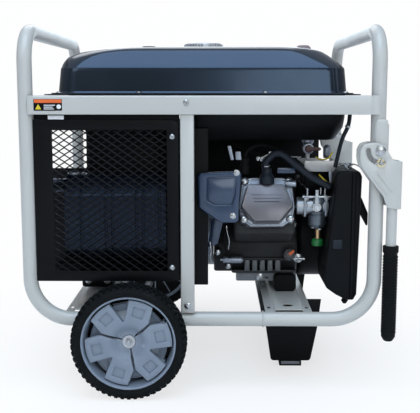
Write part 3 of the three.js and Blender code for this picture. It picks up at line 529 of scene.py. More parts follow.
FINISHES = {
    "cream": (surface("cream_powder_coat", (0.452, 0.455, 0.437), 0.34, 0.0, 0.03, 5, 0.25, 420,
                      0.0002, 0.05, 0.25, 0.2, edge=((0.4, 0.4, 0.38), 0.15)), "frame_paint"),
    "black": (surface("satin_black_paint", (0.003, 0.0033, 0.004), 0.4, 0.0, 0.2, 9, 0.25, 600,
                      0.0002, 0.07, specular=0.1, edge=((0.03, 0.03, 0.034), 0.3)), "black_paint"),
    # tank gloss: its blue reflection colour is a painted sky reflection
    "gloss": (surface("tank_gloss_paint", (0.009, 0.0115, 0.014), 0.18, 0.0, 0.2, 6, 0.05, 260,
                      0.0002, 0.03, 0.04, 0.03, specular=0.57, painted_sky_tint=(0.44, 0.64, 1.0)), "tank_gloss"),
    "grey": (surface("grey_paint", (0.17, 0.185, 0.21), 0.42, 0.0, 0.08, 12, 0.2, 700,
                     0.0002, 0.06, edge=((0.4, 0.42, 0.45), 0.4)), "grey_paint"),
    # its blue reflection colour is a painted sky reflection
    "blue_black": (surface("blue_black_paint", (0.014, 0.029, 0.064), 0.3, 0.0, 0.1, 10, 0.15, 500,
                           0.0002, 0.05, 0.5, 0.15, painted_sky_tint=(0.6, 0.75, 1.0)), "blue_black_paint"),
    "rubber": (surface("moulded_rubber", (0.007, 0.0075, 0.008), 0.6, 0.0, 0.15, 20, 0.3, 1800,
                       0.0002, 0.08, specular=0.08), "rubber"),
    "hose": (surface("hose_rubber", (0.009, 0.013, 0.02), 0.42, 0.0, 0.15, 18, 0.2, 900,
                     0.0002, 0.06, specular=0.2), "rubber"),
    "tyre": (surface("tyre_rubber", (0.005, 0.006, 0.0065), 0.55, 0.0, 0.15, 16, 0.3, 1200,
                     0.0003, 0.1, specular=0.07, dust=((0.02, 0.021, 0.024), 0.2)), "tyre_rubber"),
    "rim": (surface("rim_plastic", (0.175, 0.213, 0.27), 0.42, 0.0, 0.07, 12, 0.3, 1500,
                    0.0002, 0.07, edge=((0.42, 0.46, 0.52), 0.4)), "rim_plastic"),
    "plastic": (surface("grained_black_plastic", (0.004, 0.0045, 0.0055), 0.42, 0.0, 0.15, 15, 0.4,
                        1700, 0.0003, 0.07, specular=0.09), "black_plastic"),
    # cast_aluminium: its near-white edge colour is a painted highlight along the rims
    "alloy": (surface("cast_aluminium", (0.25, 0.275, 0.32), 0.34, 0.85, 0.08, 18, 0.35, 1300,
                      0.0003, 0.09, edge=((0.8, 0.8, 0.82), 0.6)), "cast_alloy"),
    # satin_cover_plate: its near-white edge colour is a painted highlight along the rims
    "plate_alloy": (surface("satin_cover_plate", (0.15, 0.145, 0.16), 0.34, 0.7, 0.1, 14, 0.3,
                            1500, 0.0002, 0.08, edge=((0.8, 0.8, 0.82), 0.8)), "cast_alloy"),
    "dark_alloy": (surface("dark_cast_alloy", (0.012, 0.0125, 0.014), 0.45, 0.3, 0.25, 20, 0.5, 900,
                           0.0004, 0.1, specular=0.3, edge=((0.12, 0.12, 0.13), 0.6)), "dark_alloy"),
    "zinc": (surface("zinc_plate", (0.4, 0.41, 0.42), 0.28, 1.0, 0.12, 60, 0.2, 1600,
                     0.0001, 0.1), "zinc_steel"),
    "yellow_zinc": (surface("yellow_passivated_zinc", (0.62, 0.55, 0.36), 0.3, 1.0, 0.15, 60, 0.2,
                            1600, 0.0001, 0.1), "zinc_steel"),
    "brass": (surface("brass", (0.55, 0.36, 0.2), 0.32, 1.0, 0.1, 60, 0.2, 1600, 0.0001, 0.08),
              "zinc_steel"),
    "copper": (surface("laminated_core", (0.24, 0.12, 0.07), 0.45, 0.7, 0.15, 30, 0.4, 700,
                       0.0003, 0.1), "rotor_core"),
    "fin_alloy": (surface("worn_fin_alloy", (0.05, 0.054, 0.058), 0.42, 0.5, 0.2, 22, 0.4, 1100,
                          0.0003, 0.09, edge=((0.3, 0.31, 0.32), 0.7)), "dark_alloy"),
    "grey_alloy": (surface("dull_cast_alloy", (0.13, 0.15, 0.175), 0.34, 0.85, 0.12, 22, 0.35, 1300,
                           0.0003, 0.09, edge=((0.7, 0.72, 0.75), 0.7)), "cast_alloy"),
    "shelf_steel": (surface("bare_sheet_steel", (0.3, 0.3, 0.3), 0.38, 0.6, 0.12, 30, 0.2, 1500),
                    "zinc_steel"),
    "cap": (surface("cap_metal", (0.36, 0.38, 0.42), 0.3, 0.85, 0.15, 30, 0.3, 1500,
                    edge=((0.75, 0.75, 0.76), 0.6)), "cap_metal"),
    "mesh_paint": (surface("mesh_black_paint", (0.004, 0.0043, 0.005), 0.36, 0.0, 0.1, 30, 0.2,
                           900, 0.0002, 0.06, specular=0.12), "black_paint"),
    # the blue reflection colour paints the sky reflected along the muffler's top
    "muffler": (surface("muffler_steel", (0.006, 0.008, 0.014), 0.26, 0.3, 0.2, 12, 0.25, 500,
                        0.0003, 0.08, painted_sky_tint=(0.55, 0.7, 1.0)), "dark_alloy"),
}
# small moulded parts, plain and smooth: finish, material, colour, roughness, mottle, slot
for finish, name, colour, roughness, mottle, slot in (
        ("red", "red_plastic", (0.42, 0.03, 0.02), 0.4, 0.08, "red_plastic"),
        ("dull_red", "dull_red_plastic", (0.05, 0.008, 0.007), 0.45, 0.08, "red_plastic"),
        ("smoked", "smoked_grey_plastic", (0.06, 0.06, 0.065), 0.4, 0.08, "red_plastic"),
        ("boot", "faded_boot_rubber", (0.2, 0.155, 0.16), 0.6, 0.12, "cap_metal"),
        ("orange", "orange_plastic", (0.7, 0.12, 0.02), 0.42, 0.08, "red_plastic"),
        ("green", "green_plastic", (0.01, 0.13, 0.03), 0.4, 0.1, "red_plastic"),
        ("yellow", "yellow_insulation", (0.62, 0.5, 0.02), 0.42, 0.08, "red_plastic"),
        ("white", "white_plastic", (0.72, 0.74, 0.76), 0.4, 0.05, "red_plastic")):
    FINISHES[finish] = (surface(name, colour, roughness, 0.0, mottle, 30, 0.2, 1500), slot)


# ---------------------------------------------------------------- pieces


def piece(name, shape, finish, body="frame", replaces=(), crease=35):
    """Makes a shape into a piece of the model that rides on a body."""
    mesh = bpy.data.meshes.new(name)
    mesh.from_pydata([to_frame(point) for point in shape.points], [], shape.faces)
    work = bmesh.new()
    work.from_mesh(mesh)
    bmesh.ops.remove_doubles(work, verts=work.verts, dist=1e-6)
    bmesh.ops.recalc_face_normals(work, faces=work.faces)
    work.to_mesh(mesh)
    work.free()
    mesh.shade_smooth()
    mesh.set_sharp_from_angle(angle=math.radians(crease))
    material, slot = FINISHES[finish]
    mesh.materials.append(material)
    obj = bpy.data.objects.new(name, mesh)
    bpy.context.scene.collection.objects.link(obj)
    if body:
        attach(obj, body)
    if replaces:
        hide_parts(*replaces)
    return obj


def dress(node, finish, bevel=0.6):
    """Keeps a CAD node, with a detailed finish and softened edges."""
    obj = bpy.data.objects[node]
    obj.data.materials.clear()
    obj.data.materials.append(FINISHES[finish][0])
    obj.data.shade_smooth()
    weld = obj.modifiers.new("weld", "WELD")
    weld.merge_threshold = 1e-6
    soften = obj.modifiers.new("bevel", "BEVEL")
    soften.width = bevel / 1000
    soften.segments = 2
    soften.limit_method = "ANGLE"
    soften.angle_limit = math.radians(35)
    soften.harden_normals = True


# ---------------------------------------------------------------- tube frame


def hoop_path(end):
    """The centre line of the left (-1) or right (1) half of the tube frame."""
    x = end * HALF_LENGTH
    corners = [(WELD_X, -HALF_WIDTH, RUN_Z), (x, -HALF_WIDTH, RUN_Z), (x, -HALF_WIDTH, CROSSBAR_Z),
               (x, HALF_WIDTH, CROSSBAR_Z), (x, HALF_WIDTH, RUN_Z), (WELD_X, HALF_WIDTH, RUN_Z)]
    return bent(corners, [LOWER_BEND_R, UPPER_BEND_R, UPPER_BEND_R, LOWER_BEND_R], 20)


def weld_bead(points, r=1.5):
    """A closed run of weld with overlapping ripples."""
    radii = [r * (1 + 0.28 * math.sin(i * 2.1)) for i in range(len(points))]
    return sweep(points, radii, 8, closed=True)


def tube_frame():
    for tag, end in (("left", -1), ("right", 1)):
        piece(f"hoop_tube_{tag}", sweep(hoop_path(end), TUBE_R, 40), "cream",
              replaces=[f"frame_hoop_{tag}"])
    seams = [circle((side * HALF_WIDTH, RUN_Z), TUBE_R + 0.2, 60) for _, side in SIDES]
    beads = [weld_bead([(WELD_X, y, z) for y, z in seam]) for seam in seams]
    piece("hoop_weld_beads", join(beads), "cream")

    for tag, side in SIDES:
        hinge = plate("y", rectangle((323.6, 346.3), (432, 525.5), 6), SIDE_FACE - 1,
                      SIDE_FACE + 3.3, edge=1.0)
        hinge_weld = join([sweep([(x, SIDE_FACE - 0.5, z) for z in range(440, 520, 4)], 2.0, 8)
                           for x in (323.2, 346.5)])
        piece(f"hinge_plate_{tag}", (hinge + hinge_weld).on_side(side), "cream")
        face = SIDE_FACE + 10.6  # outer face of the arm's near plate
        pin = lathe("y", [(0, SIDE_FACE - 6), (4, SIDE_FACE - 6), (4, face + 6), (3.2, face + 7),
                          (0, face + 7)], LOCK_PIN, 24)
        piece(f"lock_pin_{tag}", pin.on_side(side), "zinc")
        washer = ring("y", LOCK_PIN, 4.1, 8.4, face + 0.5, face + 2.2)
        piece(f"lock_washer_{tag}", washer.on_side(side), "yellow_zinc")
        pin_x, pin_z = LOCK_PIN
        loop = [(x, face + 4.5, z) for x, z in arc((pin_x + 2.5, pin_z + 2), 4.6, -150, 150, 20)]
        tail = flowing([(pin_x - 1.5, face + 4.5, pin_z + 4.2), (pin_x - 5, face + 5, pin_z - 1.5),
                        (pin_x - 9, face + 4.5, pin_z - 0.2), (pin_x - 13.5, face + 5, pin_z - 4)], 6)
        clip = sweep(tail[::-1] + loop[::-1], 0.8, 8)
        piece(f"spring_clip_{tag}", clip.on_side(side), "zinc")


def rails():
    for tag, side in SIDES:
        (x0, x1), y, z = cad(f"top_rail_{tag}")
        inner, outer = sorted(abs(value) for value in y)
        bend = [(outer, z[0], 1.4), (outer, z[1], 4), (inner, z[1], 1.2), (inner, z[1] - 3, 1.2),
                (outer - 3, z[1] - 3, 1), (outer - 3, z[0], 1.4)]
        shelf = plate("x", rounded(bend), x0 + 10, x1 - 17, edge=0)
        ends = [plate("y", rectangle(x, z, 1.5), outer - 3, outer, edge=0.6)
                for x in ((x0, x0 + 10.5), (x1 - 17.5, x1))]
        piece(f"top_rail_angle_{tag}", join([shelf, *ends]).on_side(side), "cream",
              replaces=[f"top_rail_{tag}"])

        (x0, x1), y, z = cad(f"center_post_{tag}")
        inner, outer = sorted(abs(value) for value in y)
        section = [(x0, inner, 0.5), (x0, outer, 3.2), (x1, outer, 3.2), (x1, inner, 0.5),
                   (x1 - 2, inner, 0.5), (x1 - 2, outer - 2, 1.4), (x0 + 2, outer - 2, 1.4),
                   (x0 + 2, inner, 0.5)]
        post = plate("z", rounded(section), z[0], z[1], edge=0.5)
        piece(f"centre_post_channel_{tag}", post.on_side(side), "cream",
              replaces=[f"center_post_{tag}"])
        middle = (x0 + x1) / 2
        bolts = bolt("y", (middle, 168.8), outer, 1, 4.6)
        if side > 0:
            bolts += bolt("y", (middle, 555.8), 302, 1, 4.6)
        piece(f"post_bolts_{tag}", bolts.on_side(side), "zinc")

    rail_bolt = pan_screw("y", (-28.8, 556.2), -302, -1, 5.6)
    piece("rail_socket_screw", rail_bolt, "zinc")
    face = -302
    label = plate("y", rectangle((-312, -259), (541, 562.5), 1.5), face - 0.35, face, edge=0.1)
    piece("label_base", label, "plastic")
    band = plate("y", rectangle((-311, -260), (555.5, 561.8), 0.8), face - 0.5, face, edge=0.1)
    piece("label_band", band, "orange")
    triangle = rounded([(-309, 543.5), (-297.5, 543.5), (-303.2, 553.5)], 0.8)
    piece("label_triangle", plate("y", triangle, face - 0.5, face, edge=0.1), "yellow")
    marks = [rectangle((-293, right), (z, z + 1.5), 0.4)
             for right, z in ((-272, 550.5), (-276, 547), (-274, 543.6))]
    marks.append(circle((-265, 548.5), 4.2, 20))
    piece("label_marks", join([plate("y", mark, face - 0.5, face, edge=0.1) for mark in marks]),
          "white")
    tag = plate("y", rectangle((-288, -258), (524.8, 532.2), 1), -292.4, -291.8, edge=0.2)
    piece("blank_paper_tag", tag, "white")


def channels():
    for tag in ("left", "right"):
        (x0, x1), (_, y1), (z0, z1) = cad(f"cross_channel_{tag}")
        lip, flank = 16, 4
        half = [(x0, z0), (x0 + lip, z0, 2), (x0 + lip + flank, z1 - 2, 1)]
        mirror = [(x0 + x1 - corner[0], *corner[1:]) for corner in half]
        under = half + mirror[::-1]
        top = [(x1, z0 + 2), (x1 - lip + 1, z0 + 2, 1), (x1 - lip - flank, z1, 2.5),
               (x0 + lip + flank, z1, 2.5), (x0 + lip - 1, z0 + 2, 1), (x0, z0 + 2)]
        body = plate("y", rounded(under + top), -y1, y1, edge=0.4)
        middle = (x0 + x1) / 2
        holes = [lathe("z", [(0, z0 - 9), (10.5, z0 - 9), (10.5, z1 + 9), (0, z1 + 9)],
                       (middle, side * 236), 28) for _, side in SIDES]
        slots = [slab((x - 3, x + 3), sorted((side * 222, side * 240)), (z0 - 5, z0 + 5), 2.9, 0)
                 for _, side in SIDES for x in (x0 + 8, x1 - 8)]
        piece(f"cross_channel_hat_{tag}", carve(body, holes + slots), "cream",
              replaces=[f"cross_channel_{tag}"])
    # a white patch on the channel's top: painted light where the top is lit
    piece("channel_blank_sticker", slab((128, 139), (-45, -16), (148.1, 148.7), 1.5), "white")


def carve(shape, cutters):
    """A shape with other closed shapes cut out of it."""
    left = []
    for part in (shape, join(cutters)):
        mesh = bpy.data.meshes.new("carving")
        mesh.from_pydata(part.points, [], part.faces)
        work = bmesh.new()
        work.from_mesh(mesh)
        bmesh.ops.remove_doubles(work, verts=work.verts, dist=1e-4)
        bmesh.ops.recalc_face_normals(work, faces=work.faces)
        work.to_mesh(mesh)
        work.free()
        obj = bpy.data.objects.new("carving", mesh)
        bpy.context.scene.collection.objects.link(obj)
        left.append(obj)
    base, tool = left
    boolean = base.modifiers.new("cut", "BOOLEAN")
    boolean.operation = "DIFFERENCE"
    boolean.solver = "EXACT"
    boolean.object = tool
    bpy.context.view_layer.update()
    result = base.evaluated_get(bpy.context.evaluated_depsgraph_get()).to_mesh()
    carved = Shape([vertex.co.copy() for vertex in result.vertices],
                   [tuple(face.vertices) for face in result.polygons])
    for obj in left:
        mesh = obj.data
        bpy.data.objects.remove(obj)
        bpy.data.meshes.remove(mesh)
    return carved


# ---------------------------------------------------------------- wheels


def rim_sector(inner, skin):
    """One third of the wheel's face: two pads either side of a V-shaped window.

    The skin, on top of the plain base, also has a square recess in each pad.
    """
    def at(r, degrees):
        return polar((0, 0), r, math.radians(90 - degrees))

    groove = math.degrees(2.2 / 52)
    pad_edge = 16.3
    right = [at(inner, 60 - math.degrees(2.2 / inner)), at(52, 60 - groove)]
    right += [at(79.5, 30 + pad_edge - 2 * pad_edge * k / 6) for k in range(7)]
    right.append(at(41.5, 2.4))
    left = [(-x, z) for x, z in right[::-1]]
    edge = [at(inner, -50 + 20 * k) for k in range(1, 5)]
    outline = right + left + edge
    if not skin:
        return outline, []
    recesses = []
    for pad in (-30, 30):
        turn = math.radians(pad)
        corners = [(-10, 50), (10, 50), (10.8, 68), (-10.8, 68)]
        recesses.append(rounded([(u * math.cos(turn) + v * math.sin(turn),
                                  v * math.cos(turn) - u * math.sin(turn)) for u, v in corners], 1.2))
    return outline, recesses


def wheel(tag, side):
    """Drawn about its own centre with its outer face towards +Y, then put in place."""
    third = []
    base, _ = rim_sector(34, False)
    skin, recesses = rim_sector(36, True)
    third.append(plate("y", base, 4, 13.5, edge=1.0))
    third.append(plate("y", skin, 13, 16.5, holes=recesses, edge=1.1))
    third.append(lathe("y", rounded([(13, 1), (24, 3), (37, 14.5), (36.5, 16.6, 1), (30, 13.5, 5),
                                     (22, 7, 6), (13, 5)], closed=False),
                       sides=24, span=(35, 145)))
    ramp = [(-4, 9, 36), (4, 9, 36), (17, -14, 70), (-17, -14, 70)]
    ramp_under = [(x, y - 3, z - 2) for x, y, z in ramp]
    third.append(Shape(ramp + ramp_under, [(0, 1, 2, 3), (4, 5, 6, 7), (0, 1, 5, 4), (1, 2, 6, 5),
                                           (2, 3, 7, 6), (3, 0, 4, 7)]))
    face = around(join(third), "Y", (0, 0, 0), 3).turned("Y", -12)
    face = face.put(Matrix.Diagonal((1.03, 1, 1.03, 1)))
    bowl = lathe("y", rounded([(20, -3), (60, -5, 10), (71, 0, 4), (73, 4), (73, 1), (60, -8, 10),
                               (20, -6)]), sides=96)
    backing = lathe("y", [(14, -14), (84, -14), (84, -16), (14, -16)], sides=72)
    barrel = lathe("y", rounded([
        (86, -20, 1), (89, -20, 1), (89, 15, 1), (91, 18, 1.5), (91, 21.2, 1.6), (88, 22, 1.5),
        (85.5, 20.5, 1.5), (84, 10, 4), (81, -2, 4), (80.5, -19, 1), (82, -20, 1)], steps=3), sides=96)
    hub = lathe("y", rounded([(9, -22), (16, -22, 1), (16, -2, 2), (14, 5, 1), (12.6, 5.6, 0.6),
                              (12.3, 4, 0.3), (9, 4)], steps=3, closed=False), sides=48)
    spokes = around(plate("y", rectangle((-1.5, 1.5), (15, 78), 0.5), -18, 5), "Y", (0, 0, 0), 12)

    tread = rounded([(88.5, -21, 1), (91, -23.5, 1.5), (93, -23.2, 1), (96, -25, 2.5), (101, -24, 3),
                     (105.4, -19, 5), (106.6, 0, 30), (105.4, 19, 5), (101, 24, 3), (96, 25, 2.5),
                     (93, 23.2, 1), (91, 23.5, 1.5), (88.5, 21, 1)])
    tyre = lathe("y", tread, sides=120)
    blocks = []
    rows = ((-19.2, 5.2, 108.2), (-11, 6.0, 109.6), (0, 6.5, 110), (11, 6.0, 109.6), (19.2, 5.2, 108.2))
    for row, (depth, wide, top) in enumerate(rows):
        count = 54
        block = plate("z", rectangle((-3.4, 3.4), (depth - wide / 2, depth + wide / 2), 1.2, 2),
                      103, top, edge=0.7, steps=1)
        if abs(depth) > 15:
            block = plate("z", rectangle((-3.6, 3.6), (depth - 3.6, depth + 3.6), 1.2, 2), 100, top,
                          edge=0.7, steps=1)
        shift = 180 / count * (row % 2)
        blocks.append(around(block.turned("Y", shift), "Y", (0, 0, 0), count))
    washer = ring("y", (0, 0), 5, 12.5, 6.2, 8.2)
    nut = bolt("y", (0, 0), 8.2, 1, 6.8, flange=False)
    end = lathe("y", [(0, 8), (4.6, 8), (4.6, 16), (3.8, 17), (0, 17)], sides=24)

    place = Matrix.Translation((WHEEL_X, side * WHEEL_MIDDLE_Y, WHEEL_Z))
    body = f"wheel_{tag}"
    piece(f"tyre_tread_{tag}", join([tyre, *blocks]).on_side(side).put(place), "tyre", body,
          [f"tyre_{tag}"])
    piece(f"wheel_rim_{tag}", join([face, barrel, bowl, hub, spokes]).on_side(side).put(place), "rim",
          body, [f"rim_{tag}"])
    piece(f"wheel_back_{tag}", backing.on_side(side).put(place), "plastic", body)
    piece(f"axle_washer_{tag}", washer.on_side(side).put(place), "plate_alloy")
    piece(f"axle_nut_{tag}", join([nut, end]).on_side(side).put(place), "zinc")


def axle():
    _, (y0, y1), _ = cad("axle")
    bar = lathe("y", [(0, y0 + 12), (7.8, y0 + 12), (7.8, y1 - 12), (0, y1 - 12)], (WHEEL_X, WHEEL_Z), 32)
    brackets = []
    for _, side in SIDES:
        ear = rounded([(WHEEL_X - 17, 124.5), (WHEEL_X + 17, 124.5), (WHEEL_X + 15, 104, 8),
                       (WHEEL_X - 15, 104, 8)])
        brackets.append(plate("y", ear, 276, 280, edge=0.6).on_side(side))
        brackets.append(plate("y", ear, 288, 292, edge=0.6).on_side(side))
        brackets.append(ring("y", (WHEEL_X, WHEEL_Z), 8, 15, 299, 302).on_side(side))
    piece("axle_bar", bar, "zinc", replaces=["axle"])
    piece("axle_brackets", join(brackets), "black")


# ---------------------------------------------------------------- support leg


def support_leg():
    (x0, x1), (y0, y1), (_, z1) = cad("support_leg")
    deck_x = (x0, x0 + 99)
    deck = plate("z", rectangle(deck_x, (y0, y1), 3), z1 - 2, z1, edge=0.5)
    walls = [plate("x", rectangle((y0, y1), (138, z1 - 1), 2), x, x + 2, edge=0.5)
             for x in (deck_x[0], deck_x[1] - 2)]
    parts = [deck, *walls]
    faces = []
    for tag, side in SIDES:
        fx, fy, fz = cad(f"leg_foot_{tag}")
        inner, outer = sorted(abs(value) for value in fy)
        sole = fz[1] + 0.5
        panel = rounded([(x0 + 7, 145, 1), (x0 + 15, 84, 30), (x0 + 26, sole, 7), (x0 + 109, sole, 7),
                         (x0 + 123, 84, 30), (x1, 145, 1)])
        parts.append(plate("y", panel, outer - 3, outer, edge=0.7).on_side(side))
        parts.append(slab((fx[0] - 8, fx[1] + 8), (outer - 30, outer - 1), (sole, sole + 3), 3)
                     .on_side(side))
        for x in (x0 + 20, x0 + 86):
            gusset = [(outer - 32, 144), (outer - 2, 144), (outer - 2, 60), (outer - 10, 100)]
            parts.append(plate("x", gusset, x, x + 2, edge=0.4).on_side(side))
        pad = [slab(fx, (inner, outer - 1.2), (2, fz[1]), 4),
               slab((fx[0], fx[0] + 3.4), (inner, outer), (0, fz[1]), 1.5),
               slab((fx[1] - 3.4, fx[1]), (inner, outer), (0, fz[1]), 1.5),
               slab(fx, (inner, outer), (0, 2.6), 1.5)]
        piece(f"leg_foot_pad_{tag}", join(pad).on_side(side), "rubber", replaces=[f"leg_foot_{tag}"])
        faces.append(plate("y", rectangle((fx[0] + 4, fx[1] - 4), (3.4, fz[1] - 1.2), 1), outer - 1.4,
                           outer - 0.4, edge=0.4).on_side(side))
    piece("leg_bracket", join(parts), "black", replaces=["support_leg"])
    piece("leg_foot_inserts", join(faces), "grey")


# ---------------------------------------------------------------- lifting handles


def handles():
    outline = rounded([
        (313, 482.5, 12), (300, 479, 9), (294.5, 468, 8), (294.5, 451, 8), (298, 437, 10),
        (314, 414.5, 14),
        (339, 383, 18), (347.5, 360, 5), (371, 357.5, 2), (371, 447, 2), (355.5, 450.5, 6),
        (347, 465, 12), (342, 475, 8), (326, 482, 8)])
    first, last, half = -182, -78, 4.6  # the curved slot's ends, in degrees, and half its width
    ends = [arc(PIVOT, SLOT_R, turn, turn + 1, 1)[0] for turn in (first, last)]
    slot = (arc(PIVOT, SLOT_R + half, first, last, 22) + arc(ends[1], half, last, last + 180, 8)[1:-1]
            + arc(PIVOT, SLOT_R - half, last, first, 22)
            + arc(ends[0], half, first - 180, first, 8)[1:-1])
    dots = [circle(at, 1.3, 10) for at in ((327, 475.5), (341.5, 469), (326.5, 459))]
    for tag, side in SIDES:
        body = f"handle_{tag}"
        (_, right), y, _ = cad(f"handle_arm_{tag}")
        inner, outer = sorted(abs(value) for value in y)
        near = plate("y", outline, outer - 2.5, outer, holes=[slot, *dots], edge=0.9)
        back = plate("y", outline, inner, inner + 2.5, edge=0.9)
        fold = rounded([(right, inner + 1, 3), (right, outer - 0.2, 4), (right - 8, outer - 0.2),
                        (right - 8, outer - 2.5), (right - 2.5, outer - 2.5, 2),
                        (right - 2.5, inner + 2.5, 2), (right - 8, inner + 2.5), (right - 8, inner + 1)])
        web = plate("z", fold, 358, 447, edge=0.6)
        ribs = [sweep([(a[0], outer - 0.4, a[1]), (b[0], outer - 0.4, b[1])], 1.5, 12)
                for a, b in (((318, 420), (346, 385)), ((328, 424), (356, 390)))]
        bar = lathe("z", [(0, 230), (10, 230), (10, 424), (8, 426), (0, 426)],
                    (HANDLE_X, HANDLE_Y), 36)
        bridge = slab((HANDLE_X - 5, right - 2), (HANDLE_Y - 4, HANDLE_Y + 4), (363, 419), 1)
        arm = join([near, back, web, bar, bridge, *ribs])
        piece(f"handle_arm_fold_{tag}", arm.on_side(side), "cream", body, [f"handle_arm_{tag}"])

        _, _, (g0, g1) = cad(f"handle_grip_{tag}")
        grip = [lathe("z", rounded([(0, g0), (8, g0, 3), (13.6, g0 + 9, 6), (13.2, g0 + 18, 4),
                                    (12.9, g1 - 16, 4), (15, g1 - 12, 2), (15, g1 - 1, 1.2),
                                    (10.4, g1, 0.5), (10.4, g1 - 60), (0, g1 - 60)], closed=False),
                      (0, 0), 48)]
        knob = lathe("x", [(2.1, 12.2), (2.0, 13.4), (1.2, 14.4), (0, 14.7)], (0, 0), 8)
        for row in range(27):
            ring_of = around(knob.turned("Z", 180 / 16 * (row % 2)), "Z", (0, 0, 0), 16)
            grip.append(ring_of.moved(z=g0 + 18 + row * (g1 - g0 - 40) / 26))
        piece(f"grip_sleeve_{tag}", join(grip).moved(HANDLE_X, side * HANDLE_Y), "rubber", body,
              [f"handle_grip_{tag}"])

        head = bolt("y", PIVOT, outer + 0.6, 1, 6.6)
        nut = bolt("y", PIVOT, inner - 0.6, -1, 6.6)
        shank = lathe("y", [(0, inner - 7.5), (5, inner - 7.5), (5, outer + 2), (0, outer + 2)],
                      PIVOT, 24)
        piece(f"pivot_bolt_set_{tag}", join([head, nut, shank]).on_side(side), "zinc",
              replaces=[f"pivot_bolt_{tag}"])


# ---------------------------------------------------------------- fuel tank


def tank_ring(left, right, half, corner, z, steps=10, along=10):
    """A rounded rectangle of a fixed number of points, seen from above."""
    corners = ((right - corner, half - corner, 0), (left + corner, half - corner, 90),
               (left + corner, corner - half, 180), (right - corner, corner - half, 270))
    points = []
    for i, (x, y, turn) in enumerate(corners):
        bend = arc((x, y), corner, turn, turn + 90, steps)
        ahead = corners[(i + 1) % 4]
        start = arc(ahead[:2], corner, ahead[2], ahead[2] + 90, 1)[0]
        points += bend
        points += [tuple(Vector(bend[-1]).lerp(Vector(start), k / along)) for k in range(1, along)]
    return [(x, y, z) for x, y in points]


